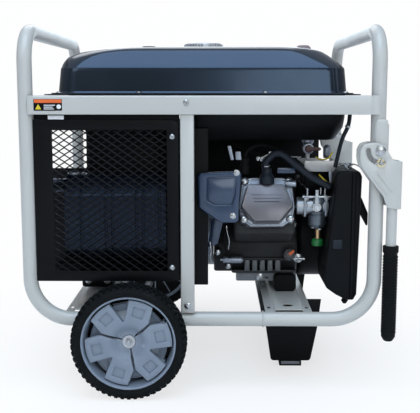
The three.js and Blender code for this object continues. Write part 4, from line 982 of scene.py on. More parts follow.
def tank():
    (x0, x1), (y0, y1), (z0, _) = cad("tank_upper_shell")
    joint = z0 + 2
    # height, left end, right end, half width, corner radius
    levels = [(joint, -285, 284, 240, 42), (joint + 3, -283.5, 282.5, 237.5, 41),
              (TANK_CREASE_Z - 8, -279.8, 279, 233.6, 40), (TANK_CREASE_Z - 1.2, -279.3, 278.3, 233.2, 41),
              (TANK_CREASE_Z + 0.8, -278.4, 277, 232.2, 43), (629, -277, 272, 228, 46),
              (636, -274.5, 264, 223, 52), (643, -270, 256, 218, 58), (649, -260, 249, 213.7, 64),
              (654, -246, 243, 210, 70), (658, -226, 235, 206, 74), (661, -198, 222, 200, 76),
              (663, -160, 212, 191, 76), (TANK_TOP_Z, -120, 203, 181, 72)]
    upper = loft([tank_ring(left, right, half, corner, z) for z, left, right, half, corner in levels])
    brim = plate("z", rectangle((x0, x1), (y0, y1), 30, 8), z0, z0 + 2, edge=0.8)
    neck = ring("z", (CAP_X, 0), 26, 31, TANK_TOP_Z - 3, TANK_TOP_Z + 4)
    piece("tank_top_pressing", join([upper, brim, neck]), "gloss", replaces=["tank_upper_shell"],
          crease=28)

    shallow, floor = 540, 480
    pan_levels = [(z0 - 0.5, -266, 281, 234, 40), (560, -263, 281, 233, 40),
                  (548, -258, 281, 230, 38), (shallow + 2, -252, 281, 224, 36)]
    sump_levels = [(shallow + 8, -36, 281, 228, 30), (531, -35, 281, 226, 30),
                   (520, -33, 280, 222, 28), (506, -31, 278.6, 213, 26), (492, -29, 271, 200, 24),
                   (484, -28.5, 266, 193, 22), (481, -28, 263, 190, 20), (floor, -26, 259, 186, 18)]
    pan, sump = (loft([tank_ring(*level[1:], level[0]) for level in levels])
                 for levels in (pan_levels, sump_levels))
    (bx0, bx1), (by0, by1), _ = cad("tank_lower_shell")
    lower_brim = plate("z", rectangle((bx0, bx1), (by0, by1), 30, 8), z0 - 2.3, z0 - 0.3, edge=0.8)
    piece("tank_bottom_pressing", join([pan, sump, lower_brim]), "black",
          replaces=["tank_lower_shell"])

    bolts = [bolt("z", (x, side * 258), z0 + 2, 1, 4.6)
             for x in (-272, -120, 120, 272) for _, side in SIDES]
    piece("tank_flange_bolts", join(bolts), "zinc")

    (cx0, cx1), _, (cz0, cz1) = cad("fuel_cap")
    radius = (cx1 - cx0) / 2
    skirt = lathe("z", rounded([(0, cz0 + 3.6), (31.5, cz0 + 3.6), (31.5, cz0 + 0.2),
                                (radius - 1.5, cz0 + 0.2, 0.6), (radius - 1.4, cz1 - 2.6, 1.6),
                                (radius - 5, cz1 - 1, 2), (18, cz1, 4), (0, cz1 - 0.6)],
                               closed=False), (CAP_X, 0), 96)
    lugs = around(slab((radius - 3, radius), (-1.6, 1.6), (cz0 + 0.5, cz1 - 3.2), 1.0),
                  "Z", (0, 0, 0), 40)
    bar = slab((-26, 26), (-5, 5), (cz1 - 3, cz1 - 0.2), 4, 1.4)
    piece("fuel_cap_body", join([skirt, lugs.moved(CAP_X), bar.moved(CAP_X)]), "cap", "cap", ["fuel_cap"])

    rim = TANK_TOP_Z + 10
    gauge = lathe("z", rounded([(0, TANK_TOP_Z - 2), (15.4, TANK_TOP_Z - 2), (15.4, rim - 2, 1),
                                (13.5, rim, 1), (12.5, rim - 1.4, 0.4), (0, rim - 1.4)],
                               closed=False), (GAUGE_X, 0), 40)
    piece("fuel_gauge_bezel", gauge, "plastic")
    pointer = plate("z", [(GAUGE_X - 2, -8), (GAUGE_X + 2, -8), (GAUGE_X, 9)], rim - 1.5, rim - 0.8,
                    edge=0.1)
    piece("fuel_gauge_pointer", pointer, "red")
    boot = lathe("z", rounded([(0, 655), (15, 655), (15.5, 664, 2), (12, 668, 2), (9.5, 669.6, 1),
                               (0, 669.9)],
                              closed=False), (205, -120), 40)
    piece("rollover_valve", boot, "boot")

    (vx, vy), valve_z = (214, -150), cad("tank_lower_shell")[2][0]
    valve = join([
        lathe("z", rounded([(0, 455), (8, 455, 1), (9, 470, 1), (12, 474, 1), (12, 480, 1), (0, 484)],
                           closed=False), (vx, vy), 32),
        plate("z", circle((vx, vy), 11, 6), 474, 480, edge=0.6),
        lathe("y", rounded([(0, -167.5), (11, -167.5, 1), (11, -150, 1), (9, -140, 1), (0, -140)],
                           closed=False), (vx, 461), 32),
        sweep([(vx, vy, 456), (vx, vy, valve_z)], 4, 16),
    ])
    piece("fuel_valve_body", valve, "alloy")
    lever = join([
        lathe("y", rounded([(0, -168.4), (8, -168.4), (8, -173, 1), (0, -174)], closed=False), (vx, 461), 32),
        plate("y", rounded([(vx - 4, 457), (vx + 22, 457.6), (vx + 26, 461), (vx + 22, 464.4),
                            (vx - 4, 465)], 2),
              -173.6, -170, edge=0.8),
    ])
    piece("fuel_lever_arm", lever, "dull_red", "fuel_lever", ["fuel_valve_lever"])


# ---------------------------------------------------------------- exhaust side


def guard():
    (x0, x1), (y0, _), _ = cad("muffler_guard")
    face = (y0, y0 + 2)
    right, back = -44, -140
    window = ((-281.6, -66), (234.9, 505.4))
    bottom, top = 214.8, 524
    panel = plate("y", rounded([(x0, bottom, 2), (right, bottom, 2), (right, top, 13), (x0, top, 2)]),
                  *face, holes=[rectangle(*window, 3)], edge=0.7)
    header = circle(HEADER, 18, 40)
    fold = plate("x", rectangle((face[0] + 0.8, back), (bottom + 0.5, 520.5), 2), right - 2, right,
                 holes=[header], edge=0.4)
    shield = plate("y", rectangle((right - 1, x1), (190, 505), 2), -215, -213, edge=0.4)
    left = x0 + 1.6
    notch = [(left, 419), (-241, 419, 4), (-241, 497, 4), (left, 497)]
    rear = rounded([(left, bottom), (right, bottom), (right, 521), (left, 521), *notch[::-1]])
    rear = plate("y", rear, back - 2, back, edge=0.4)
    lid = slab((left, right), (face[0] + 1, back), (519, 521), 1)
    foot = slab((left, right), (face[0] + 1, back), (bottom, bottom + 2), 1)
    upright = plate("y", rectangle((-316.6, -42), (504, 545), 1), -285, -283, edge=0.4)
    lip = sweep([(x, face[1] + 1, top - 0.5) for x in (x0, right - 14)], 1.6, 10)
    piece("guard_box", join([panel, fold, shield, rear, lid, foot, upright, lip]), "black",
          replaces=["muffler_guard"])
    screws = [pan_screw("y", at, face[0], -1, 5.2) for at in ((-55.8, 492.4), (-56.9, 241.4))]
    piece("guard_screws", join(screws), "zinc")

    # expanded sheet: zigzag strands, each strand meeting its neighbours at the tips
    (mx0, mx1), (my0, _), (mz0, mz1) = cad("guard_mesh")
    half_pitch, rise = 10.0, 3.45
    strands = []
    rows = int((mz1 - mz0) / (2 * rise))
    columns = int((mx1 - mx0) / half_pitch)
    middle = my0 + 1.0
    for row in range(rows + 1):
        z = mz0 + 2 * rise * row
        for column in range(columns):
            slope = 1 if (row + column) % 2 else -1
            x = mx0 + half_pitch * column
            ends = ((x - 0.6, z - slope * rise), (x + half_pitch + 0.6, z + slope * rise))
            bar = plate("y", [(-0.5, -1.15), (12.6, -1.15), (12.6, 1.15), (-0.5, 1.15)], -0.5, 0.5,
                        edge=0.18, steps=1)
            turn = math.degrees(math.atan2(ends[1][1] - ends[0][1], half_pitch + 1.2))
            bar = bar.turned("X", 32 * slope).turned("Y", -turn)
            strands.append(bar.moved(ends[0][0], middle, ends[0][1]))
    piece("guard_expanded_mesh", join(strands), "mesh_paint", replaces=["guard_mesh"])


def muffler():
    x0, x1 = -268, -66
    stations = [(x0, 12), (x0 + 1, 4), (x0 + 4, 0.6)]
    for x, wide in ((-236, 3), (-188, 3), (-175.5, 3), (-128.5, 3), (-115.5, 3), (-84, 3)):
        stations += [(x - 1.2, 0), (x, 2.2), (x + wide, 2.2), (x + wide + 1.2, 0)]
    stations += [(x1 - 4, 0.6), (x1 - 1, 4), (x1, 12)]
    rings = []
    for x, into in stations:
        near, far = -262 + into, -150 - into
        low, high = 250 + into, 415 - into
        section = rounded([(near, low, 30), (far, low, 30), (far, high, 30), (near + 34, high, 8),
                           (near, high - 38, 8)], steps=6)
        rings.append([(x, y, z) for y, z in section])
    creases = [slab((x, right), (-262.8, -258), (z, z + 1.6), 0.8)
               for x, right, z in ((-229, -68, 366), (-186, -82, 280))]
    seam = [[(x, y, z) for y, z in rounded([(-263.5, 248.5, 31), (-148.5, 248.5, 31),
                                            (-148.5, 416.5, 31), (-229, 416.5, 8), (-263.5, 378, 8)],
                                           steps=6)]
            for x in (x0 + 1.5, x0 + 6)]
    header = sweep(bent([(-70, -175, 345), (30, -175, 345), (60.5, -160, 345)], 20), 15, 32)
    flange = plate("x", rectangle((-201, -149), (321, 369), 8), 55, 61, edge=0.8)
    outlet = lathe("x", rounded([(0, -264), (14, -264), (14, -300, 1), (12, -300, 1), (12, -272), (0, -272)],
                                closed=False), (-200, 390), 32)
    piece("muffler_can", join([loft(rings), loft(seam), *creases, header, flange, outlet]), "muffler",
          replaces=["muffler"], crease=30)

    (sx0, sx1), (sy0, sy1), (sz0, _) = cad("exhaust_shield")
    outer = rounded([(sx0 + 0.5, 418, 8), (sx1, 421.5, 8), (73, 370, 20), (71, sz0, 8),
                     (36, sz0, 12), (sx0 + 2.5, 349, 10)])
    groove = rounded([(9, 409, 4), (65, 410, 4), (64, 378, 5), (57, 356, 5), (26, 356, 6), (9, 365, 5)])
    core = inset_loop(groove, 1.3)
    rim = plate("y", outer, sy0, sy1, holes=[groove], edge=3.0, steps=4)
    centre = plate("y", core, sy0, sy1, edge=1.2)
    backing = plate("y", inset_loop(outer, 4), sy0 + 2.5, sy0 + 6, edge=0.3)
    piece("shield_pressing", join([rim, centre, backing]), "blue_black", replaces=["exhaust_shield"])
    screws = [bolt("y", at, sy0, -1, 4.2) for at in ((67, 419), (60, 333.6))]
    piece("shield_bolts", join(screws), "zinc")


def inset_loop(loop, distance):
    loop = loop if signed_area(loop) > 0 else loop[::-1]
    return [tuple(point) for point in inset(loop, distance)]


# ---------------------------------------------------------------- engine


def on_cylinder(shape):
    """Puts a shape drawn upright over the origin onto the tilted cylinder axis."""
    place = Matrix.Translation((CYLINDER_X, 0, CRANK_Z))
    return shape.put(place @ Matrix.Rotation(math.radians(90 - CYLINDER_TILT), 4, "X"))


def cylinder_point(along, up):
    tilt = math.radians(CYLINDER_TILT)
    return (-along * math.cos(tilt) + up * math.sin(tilt),
            CRANK_Z + along * math.sin(tilt) + up * math.cos(tilt))


def crankcase():
    x0, x1 = cad("crankcase")[0]
    outline = rounded([(-92, 190.6, 8), (92, 190.6, 8), (124, 222, 14), (124, 330, 14), (80, 374, 20),
                       (*cylinder_point(99, 62), 6), (*cylinder_point(99, -62), 6), (-116, 218, 12)])
    body = plate("x", outline, x0, x1, edge=5, steps=3)
    side_cover = plate("x", circle(CRANK, 82, 40), x0 - 0.2, x0 + 8, edge=3)
    ribs = [slab((87 + 16.2 * i, 98 + 16.2 * i), (-127, -96), (199, 222), 2) for i in range(5)]
    ledge = slab((70, 196), (-124, -60), (222, 226), 2)
    sump = slab((60, 198), (-112, 112), (190.6, 198), 8, 2)
    boss = [lathe("y", rounded([(0, -132), (7, -132, 1), (8, -124, 1), (8, -100), (0, -100)], closed=False),
                  at, 24) for at in CRANKCASE_BOSSES]
    piece("crankcase_casting", join([body, side_cover, ledge, sump, *boss]), "dark_alloy",
          replaces=["crankcase"])
    piece("crankcase_fins", join(ribs), "fin_alloy")
    sensor = lathe("x", rounded([(0, 36), (3, 36), (3, 42), (7.5, 42, 1), (7.5, 80, 1), (5, 84), (0, 84)],
                                closed=False), (-134, 225), 32)
    piece("oil_level_sensor", sensor, "alloy")
    bolts = [bolt("y", at, -132, -1, 4) for at in CRANKCASE_BOSSES]
    piece("crankcase_bolts", join(bolts), "zinc")

    (cx0, cx1), (cy0, cy1), (cz0, cz1) = cad("oil_cap")
    middle = ((cx0 + cx1) / 2, (cz0 + cz1) / 2)
    radius = (cx1 - cx0) / 2
    knob = lathe("y", rounded([(0, cy0), (6, cy0, 1), (radius - 2, cy0 + 3, 2), (radius - 0.5, cy0 + 10, 1),
                               (8, cy0 + 11), (8, cy1), (0, cy1)], closed=False), middle, 40)
    rim = middle[0] + radius
    wing = plate("y", rectangle((rim - 3, rim), (middle[1] - 2, middle[1] + 2), 0.8), cy0 + 3,
                 cy0 + 10.5, edge=0.5)
    wings = around(wing, "Y", (middle[0], 0, middle[1]), 12)
    piece("oil_filler_knob", join([knob, wings]), "smoked", "oil_filler_cap", ["oil_cap"])
    ear = plate("y", rounded([(middle[0] - 3, middle[1] + 4), (middle[0] + 9, middle[1] + 12),
                              (middle[0] + 10, middle[1] + 6), (middle[0] + 1, middle[1] - 1)], 1.5),
                cy0 - 0.4, cy0 + 2, edge=0.5)
    piece("oil_filler_ear", ear, "orange", "oil_filler_cap")


def cylinder_and_head():
    core = plate("z", rectangle((-46, 46), (-48, 48), 12), 100.3, 204.7, edge=0.4)
    fins = [plate("z", rectangle((-61, 61), (-58, 58), 9), 108 + 9 * i, 110.6 + 9 * i, edge=0.7)
            for i in range(10)]
    head = plate("z", rounded([(u * 1.02, v * 1.0, 6) for u, v, _ in COVER_OUTLINE]), 196, 204.6, edge=0.6)
    piece("cylinder_block", on_cylinder(join([core, *fins, head])), "dark_alloy", replaces=["cylinder"])

    flange = plate("z", rounded(COVER_OUTLINE), 205, 217, edge=2.4, steps=4)
    rim = plate("z", rounded(COVER_OUTLINE), 215, 219, edge=1.6,
                holes=[rounded([(u * 0.93 + 0.2, v * 0.92, r) for u, v, r in COVER_OUTLINE])])
    raised = [(-36, 33, 7), (-49, -14, 9), (-23, -43, 8), (28, -43, 8), (55, -11, 9), (38, 33, 7)]
    steps = ((216, 1.035), (232, 1.0), (238, 0.985), (240.4, 0.955), (241, 0.92))
    base = rounded(raised, steps=8)
    middle = (2.5, -6)
    dome = loft([[(middle[0] + (u - middle[0]) * size, middle[1] + (v - middle[1]) * size, z)
                  for u, v in base] for z, size in steps])
    corners = ((-41, 43.5), (48, 44), (-42, -34.5), (49.5, -33.5))
    bosses = [lathe("z", rounded([(0, 206), (8.6, 206), (8.2, 220, 1), (6.5, 221.5, 0.5), (0, 221.5)],
                                 closed=False), at, 28) for at in corners]
    tower = lathe("x", rounded([(0, 40), (7, 40, 1), (7.5, 62, 1.5), (0, 62.5)], closed=False), (38, 222), 28)
    piece("valve_cover_flange", on_cylinder(join([flange, rim, *bosses, tower])), "alloy",
          replaces=["valve_cover"])
    piece("valve_cover_dome", on_cylinder(dome), "plate_alloy")
    lines = [plate("z", rectangle((-30 + 3 * abs(i), 34 - 3 * abs(i)), (y, y + 2.4), 1.1), 240.6, 241,
                   edge=0.1) for i, y in ((0, 9), (1, 2), (2, -5))]
    bolts = [bolt("z", at, 221.5, 1, 4.6) for at in corners]
    piece("valve_cover_bolts", on_cylinder(join(bolts)), "zinc")
    piece("valve_cover_ribs", on_cylinder(join(lines)), "plate_alloy")

    boot = lathe("z", rounded([(0, 412), (10, 412, 1), (10, 426, 2), (7.5, 432, 2), (8.5, 444, 2), (0, 446)],
                              closed=False), (84, -185), 32)
    lead = sweep(flowing([(84, -185, 440), (90, -180, 458), (120, -160, 468), (165, -130, 450),
                          (196, -100, 418)], 10), 3.5, 14)
    piece("spark_plug_boot", join([boot, lead]), "rubber", replaces=["spark_plug_cap"])


def hoses():
    route = flowing([(124, -206, 410), (125, -206, 420), (126, -206, 438), (150, -213, 456),
                     (184, -219, 433), (216, -221, 408), (251.6, -221, 390)], 10)
    elbow = lathe("z", rounded([(0, 394), (15, 394, 2), (15, 408, 4), (9.5, 416, 3), (8.5, 426, 2),
                                (0, 427)], closed=False), (128, -206), 32)
    piece("breather_tube", join([sweep(route, 6.6, 24), elbow]), "hose", replaces=["breather_hose"])
    piece("breather_clamp", ring("z", (126.5, -206), 7, 8.2, 428, 430.5), "zinc")
    vent = flowing([(288, -206, 548), (288.5, -213, 530), (284.5, -217, 508), (273, -217, 480),
                    (262, -213, 428)], 10)
    piece("vent_tube", sweep(vent, 4, 20), "hose", replaces=["vent_hose"])
    clamp = ring("z", (0, 0), 4.1, 5.4, -2.5, 2.5).turned("Y", 22).moved(284.5, -217, 508)
    piece("vent_clamp", clamp, "zinc")


def carburetor():
    x, y = 230.5, -200
    bowl = lathe("z", rounded([(0, 303), (9, 303, 1), (15, 306, 3), (19.5, 313, 4), (19.5, 330, 1),
                               (17.5, 332, 0.6), (17.5, 334, 0.6), (20, 335, 0.6), (20, 339, 0.6),
                               (0, 340)], closed=False), (x, y), 48)
    throat = lathe("z", rounded([(0, 338), (17, 338, 1), (19, 345, 4), (18.5, 358, 3), (15, 368, 2),
                                 (0, 369)], closed=False), (x, y), 48)
    bore = ring("x", (y, 349), 9, 17, 188, 249.8)
    end_plates = [plate("x", rectangle((y - 19.5, y + 22), (328, 371), 8), low, low + 5, edge=0.8)
                  for low in (201, 243)]
    screws_at = ((206, 352), (244, 352), (206, 366), (246, 366))
    lugs = [lathe("y", [(0, -217), (4.5, -217), (4.5, -204), (0, -204)], at, 20) for at in screws_at]
    spindle = lathe("x", rounded([(0, 198), (2.8, 198, 0.5), (2.8, 256, 0.5), (0, 256)], closed=False),
                    (-214, 369), 20)
    pillars = [lathe("z", [(0, 366), (2.4, 366), (2.4, 386), (0, 387)], at, 16)
               for at in ((208, -214), (243, -214), (236, -202))]
    pivot_at = (226, 349)
    pivot = lathe("y", [(0, -226.5), (5, -226.5), (5, -216), (0, -216)], pivot_at, 20)
    piece("carburetor_casting", join([bowl, throat, bore, *end_plates, *lugs, pivot]), "grey_alloy",
          replaces=["carburetor"])
    piece("carburetor_linkage", join([spindle, *pillars]), "zinc")
    screws = [bolt("y", at, -217, -1, 2.6) for at in screws_at]
    drain = bolt("z", (x + 3, y - 4), 305, -1, 6)
    bowl_nut = bolt("z", (x - 10, y - 8), 308, -1, 4)
    piece("carburetor_screws", join([*screws, drain, bowl_nut]), "zinc")
    stem = lathe("z", [(0, 280), (6, 280), (6, 304), (0, 304)], (x + 1.5, y), 24)
    piece("fuel_cut_stem", stem, "brass")
    collar = lathe("z", rounded([(0, 268), (10, 268, 1), (11.5, 270, 1), (11.5, 280, 1), (8, 283),
                                 (0, 283)], closed=False), (x + 1, y), 32)
    piece("fuel_cut_collar", collar, "green")

    _, ly, lz = cad("choke_lever")
    arm = join([ring("y", pivot_at, 5.4, 9, ly[0], ly[1]),
                plate("y", rounded([(222, 357), (230, 357), (229, lz[1] - 2, 2), (230, lz[1], 3),
                                    (222, lz[1], 3), (223, lz[1] - 2, 2)]), ly[0], ly[1], edge=0.8)])
    piece("choke_lever_arm", arm, "zinc", "choke", ["choke_lever"])


def air_cleaner():
    (_, x1), (y0, y1), (z0, z1) = cad("air_cleaner_base")
    base = rounded([(256, z1, 12), (x1, z1, 3), (x1, z0, 3), (282, 171, 6), (262, 181, 14), (241, 196, 14),
                    (239, 226, 12), (247, 300, 30), (252, 352, 20), (257, 392, 10)])
    body = plate("y", base, y0, y1, edge=5, steps=4)
    (cx0, cx1), (cy0, cy1), (cz0, cz1) = cad("air_cleaner_cover")
    cover = rounded([(cx0, cz1, 3), (303, cz1, 8), (cx1, 414, 8), (302.5, 182, 6), (296, cz0, 4),
                     (cx0, cz0, 3)])
    lid = plate("y", cover, cy0, cy1, edge=5, steps=4)
    ribs = [plate("x", rectangle((y0 + 14 + 26 * i, y0 + 18 + 26 * i), (205, 395), 2), 300, 304, edge=0.8)
            for i in range(4)]
    lip = plate("y", rectangle((cx0 - 3, cx0 + 3), (cz0 + 1, cz1 - 1), 2), cy0 - 1.6, cy1 + 1.6, edge=0.8)
    intake = lathe("x", rounded([(0, 236), (13, 236, 1), (15, 252, 1), (0, 252)], closed=False),
                   (-200, 349), 32)
    piece("air_box_base", join([body, intake]), "plastic", replaces=["air_cleaner_base"])
    piece("air_box_cover", join([lid, lip, *ribs]), "plastic", replaces=["air_cleaner_cover"])
    nipple = lathe("z", rounded([(0, 158), (3, 158, 1), (7, 164, 1), (5, 168, 1), (7, 174), (0, 174)],
                                closed=False), (283, -236), 24)
    piece("air_box_drain", nipple, "rubber")
    block = plate("y", rectangle((253.6, 271.7), (273.5, 291.5), 2), y0 - 2, y0 + 2, edge=0.6)
    piece("air_box_clip", block, "hose")

    wire = bent([(277, -176, 429), (303, -176, 429), (303, -150, 429), (277, -150, 429)], [5, 5], 6)
    bail = sweep(wire, 2, 14)
    piece("air_cleaner_bail", bail, "zinc", "latch", ["air_cleaner_latch"])
    coil = [(286 + 3.2 * math.cos(t / 3), -200 - t * 0.42, 428.6 + 3.2 * math.sin(t / 3)) for t in range(72)]
    hook = flowing([(289, -200, 429), (296, -210, 434), (303, -224, 433), (310, -240, 428)], 6)
    piece("air_box_spring", join([sweep(coil, 0.9, 8), sweep(hook, 1.1, 8)]), "zinc")
    stay = plate("y", rounded([(302, 372), (309, 372), (322, 342), (322, 312), (302, 348)], 2), -252, -248,
                 edge=0.8)
    piece("air_box_stay", stay, "black")


def blower_and_recoil():
    (x0, x1), _, _ = cad("blower_housing")
    drum = lathe("x", rounded([(18, x0), (106, x0, 6), (112, x0 + 8, 5), (112, x1 - 3, 1.5), (109, x1, 1.5),
                               (107, x1, 1), (107, x0 + 6, 4), (18, x0 + 4)]), CRANK, 96)
    volute = plate("x", rounded([(-60, 360), (-100, 372, 8), (-108, 330, 8), (-60, 330)]), x0 + 2,
                   x1 - 8, edge=2)
    post = slab((212, 236), (-62, -40), (370, 431), 3)
    piece("blower_shroud", join([drum, volute, post]), "black", replaces=["blower_housing"])
    shelf = join([slab((202, 255), (-211, -40), (430, 432), 2),
                  plate("y", rectangle((201.5, 262), (419, 441), 2), -212, -210, edge=0.6)])
    piece("engine_shelf", shelf, "shelf_steel")
    duct = slab((206, 260), (-150, -70), (352, 429), 6, 2)
    piece("engine_shelf_duct", duct, "black")

    slots = ring_slots(CRANK, (44, 0.075), (68, 0.055), spread_turns(20))
    slots = [rounded(slot, 1.5, 2) for slot in slots
             if slot[0][0] >= -20 or abs(slot[0][1] - ROPE_Z) >= 26]
    face = plate("x", circle(CRANK, 74, 72), 293, 296, holes=slots, edge=0.8)
    skirt = lathe("x", rounded([(70, 293), (74, 296, 2), (96, 270, 6), (100, 262.5), (96, 262.5),
                                (92, 269, 4), (70, 291)]), CRANK, 96)
    cap = lathe("x", rounded([(0, 300), (34, 300, 3), (40, 295), (0, 295)], closed=False), CRANK, 64)
    guide = lathe("x", rounded([(5.2, 286), (9, 286), (9.5, 302, 1), (5.6, 303.2, 1)]),
                  (ROPE_Y, ROPE_Z), 32)
    piece("recoil_shell", join([face, skirt, cap, guide]), "black", replaces=["recoil_cover"])
    bolts = [bolt("x", polar(CRANK, 102, turn), 262, 1, 4.4) for turn in spread_turns(6, 30)]
    piece("recoil_bolts", join(bolts), "zinc")

    (gx0, gx1), gy, gz = cad("recoil_grip")
    handle = plate("x", rounded([(gy[0], gz[0] + 4, 5), (gy[0] + 12, gz[0], 6), (gy[1] - 12, gz[0], 6),
                                 (gy[1], gz[0] + 4, 5), (gy[1], gz[1] - 4, 5), (gy[1] - 12, gz[1], 6),
                                 (gy[0] + 12, gz[1], 6), (gy[0], gz[1] - 4, 5)]),
                   gx0 + 6.5, gx1, edge=3.5, steps=4)
    piece("starter_handle", handle, "plastic", "starter_grip", ["recoil_grip"])
    rope_x = [282 + 0.4 * i for i in range(73)]
    rope = sweep([(x, ROPE_Y, ROPE_Z) for x in rope_x],
                 [2.6 + 0.25 * math.sin(x * 2.2) for x in rope_x], 12)
    rope = piece("starter_rope", rope, "rubber", body=None)
    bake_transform(rope)


def alternator():
    (x0, x1), _, _ = cad("alternator_housing")
    shell = lathe("x", rounded([(18, x0), (101, x0, 1), (104, x0 + 3, 1), (104, x0 + 16, 1), (99, x0 + 18, 2),
                                (99, -68, 2), (104, -66, 1), (104, -50, 2), (88, -8, 6), (88, x1 - 1, 1),
                                (18, x1 - 1)]), CRANK, 96)
    fin = slab((x0 + 16, -66), (-1.6, 1.6), (98, 104), 1.2)
    fins = around(fin, "X", (0, 0, 0), 36).moved(z=CRANK_Z)
    through_bolts = [lathe("x", [(0, x0 + 4), (4, x0 + 4), (4, -52), (0, -52)],
                           polar(CRANK, 100, turn), 16) for turn in spread_turns(4, 45)]
    piece("alternator_shell", join([shell, fins]), "alloy", replaces=["alternator_housing"])
    piece("alternator_bolts", join(through_bolts), "zinc")
    (b0, b1), _, _ = cad("alternator_end_bell")
    vents = [rounded(slot, 2, 2)
             for slot in ring_slots(CRANK, (36, 0.13), (62, 0.1), spread_turns(12))]
    face = plate("x", circle(CRANK, 72, 72), b0, b0 + 4, holes=vents, edge=1)
    bell = lathe("x", rounded([(70, b0 + 1), (74, b0 + 1, 2), (95, b0 + 11, 4), (102, b0 + 20, 2),
                               (102, b1), (96, b1), (90, b0 + 15), (70, b0 + 4)]), CRANK, 96)
    hub = lathe("x", rounded([(0, b0 - 0.5), (20, b0 - 0.5, 2), (22, b0 + 6), (0, b0 + 6)], closed=False),
                CRANK, 48)
    piece("alternator_end_cover", join([face, bell, hub]), "dark_alloy", replaces=["alternator_end_bell"])
    dress("rotor", "copper", 0.8)
    dress("crankshaft", "zinc", 0.5)
    dress("flywheel_fan", "dark_alloy", 0.8)


# ---------------------------------------------------------------- supports and electrics


def supports():
    (x0, x1), (_, y1), (z0, z1) = cad("engine_rail")
    rails = []
    for _, side in SIDES:
        bar = plate("y", rectangle((x0, x1), (z0, z1), 3), 77, y1, edge=1.4,
                    holes=[circle((135.4, 179.5), 4, 20)])
        rails.append(bar.on_side(side))
    straps = [slab(x, (-80, 80), (178, z1 - 0.5), 1.5) for x in ((84, 104), (128, 140))]
    piece("engine_rail_bars", join([*rails, *straps]), "grey", replaces=["engine_rail"])
    bolts = [bolt("y", (120.5, 180), y1, 1, 5.4).on_side(side) for _, side in SIDES]
    piece("engine_rail_bolts", join(bolts), "zinc")
    for tag, side in SIDES:
        x, y, z = cad(f"engine_mount_{tag}")
        block = plate("y", rectangle(x, z, 9, 6), *y, edge=3, steps=3)
        piece(f"engine_mount_block_{tag}", block, "rubber", replaces=[f"engine_mount_{tag}"])
        x, y, z = cad(f"alternator_mount_{tag}")
        outline = rectangle(x, y, 10, 6)
        waist = [(z[0], 0), (z[0] + 3, 0), (z[0] + 8, 5), (z[1] - 8, 5), (z[1] - 3, 0), (z[1], 0)]
        rings = [[(p[0], p[1], height) for p in inset_loop(outline, into)] for height, into in waist]
        piece(f"alternator_mount_block_{tag}", loft(rings), "rubber", replaces=[f"alternator_mount_{tag}"])
    cradle = join([slab((-262, -180), (-100, 100), (182, 186), 3),
                   plate("y", rectangle((-262, -196), (158, 200), 6), -104, -100, edge=0.8),
                   plate("y", rectangle((-262, -196), (158, 200), 6), 100, 104, edge=0.8)])
    piece("alternator_cradle", cradle, "black")
    bolts = [bolt("y", (x, 172), 104, 1, 5).on_side(side) for x in (-248, -208) for _, side in SIDES]
    piece("alternator_cradle_bolts", join(bolts), "zinc")


def outlet(centre, face):
    """A twist-lock outlet: bezel, well and slots, facing +Y."""
    bezel = lathe("y", rounded([(13, face - 1), (21, face - 1), (21, face + 3, 1), (18, face + 4.2, 1),
                                (14.5, face + 3, 0.6), (14, face), (13, face)]), centre, 48)
    slots = [rounded(slot, 0.5, 2)
             for slot in ring_slots(centre, (7, 0.32), (9.6, 0.32), spread_turns(3, 90))]
    return bezel + plate("y", circle(centre, 13.6, 40), face, face + 1.2, holes=slots, edge=0.3)


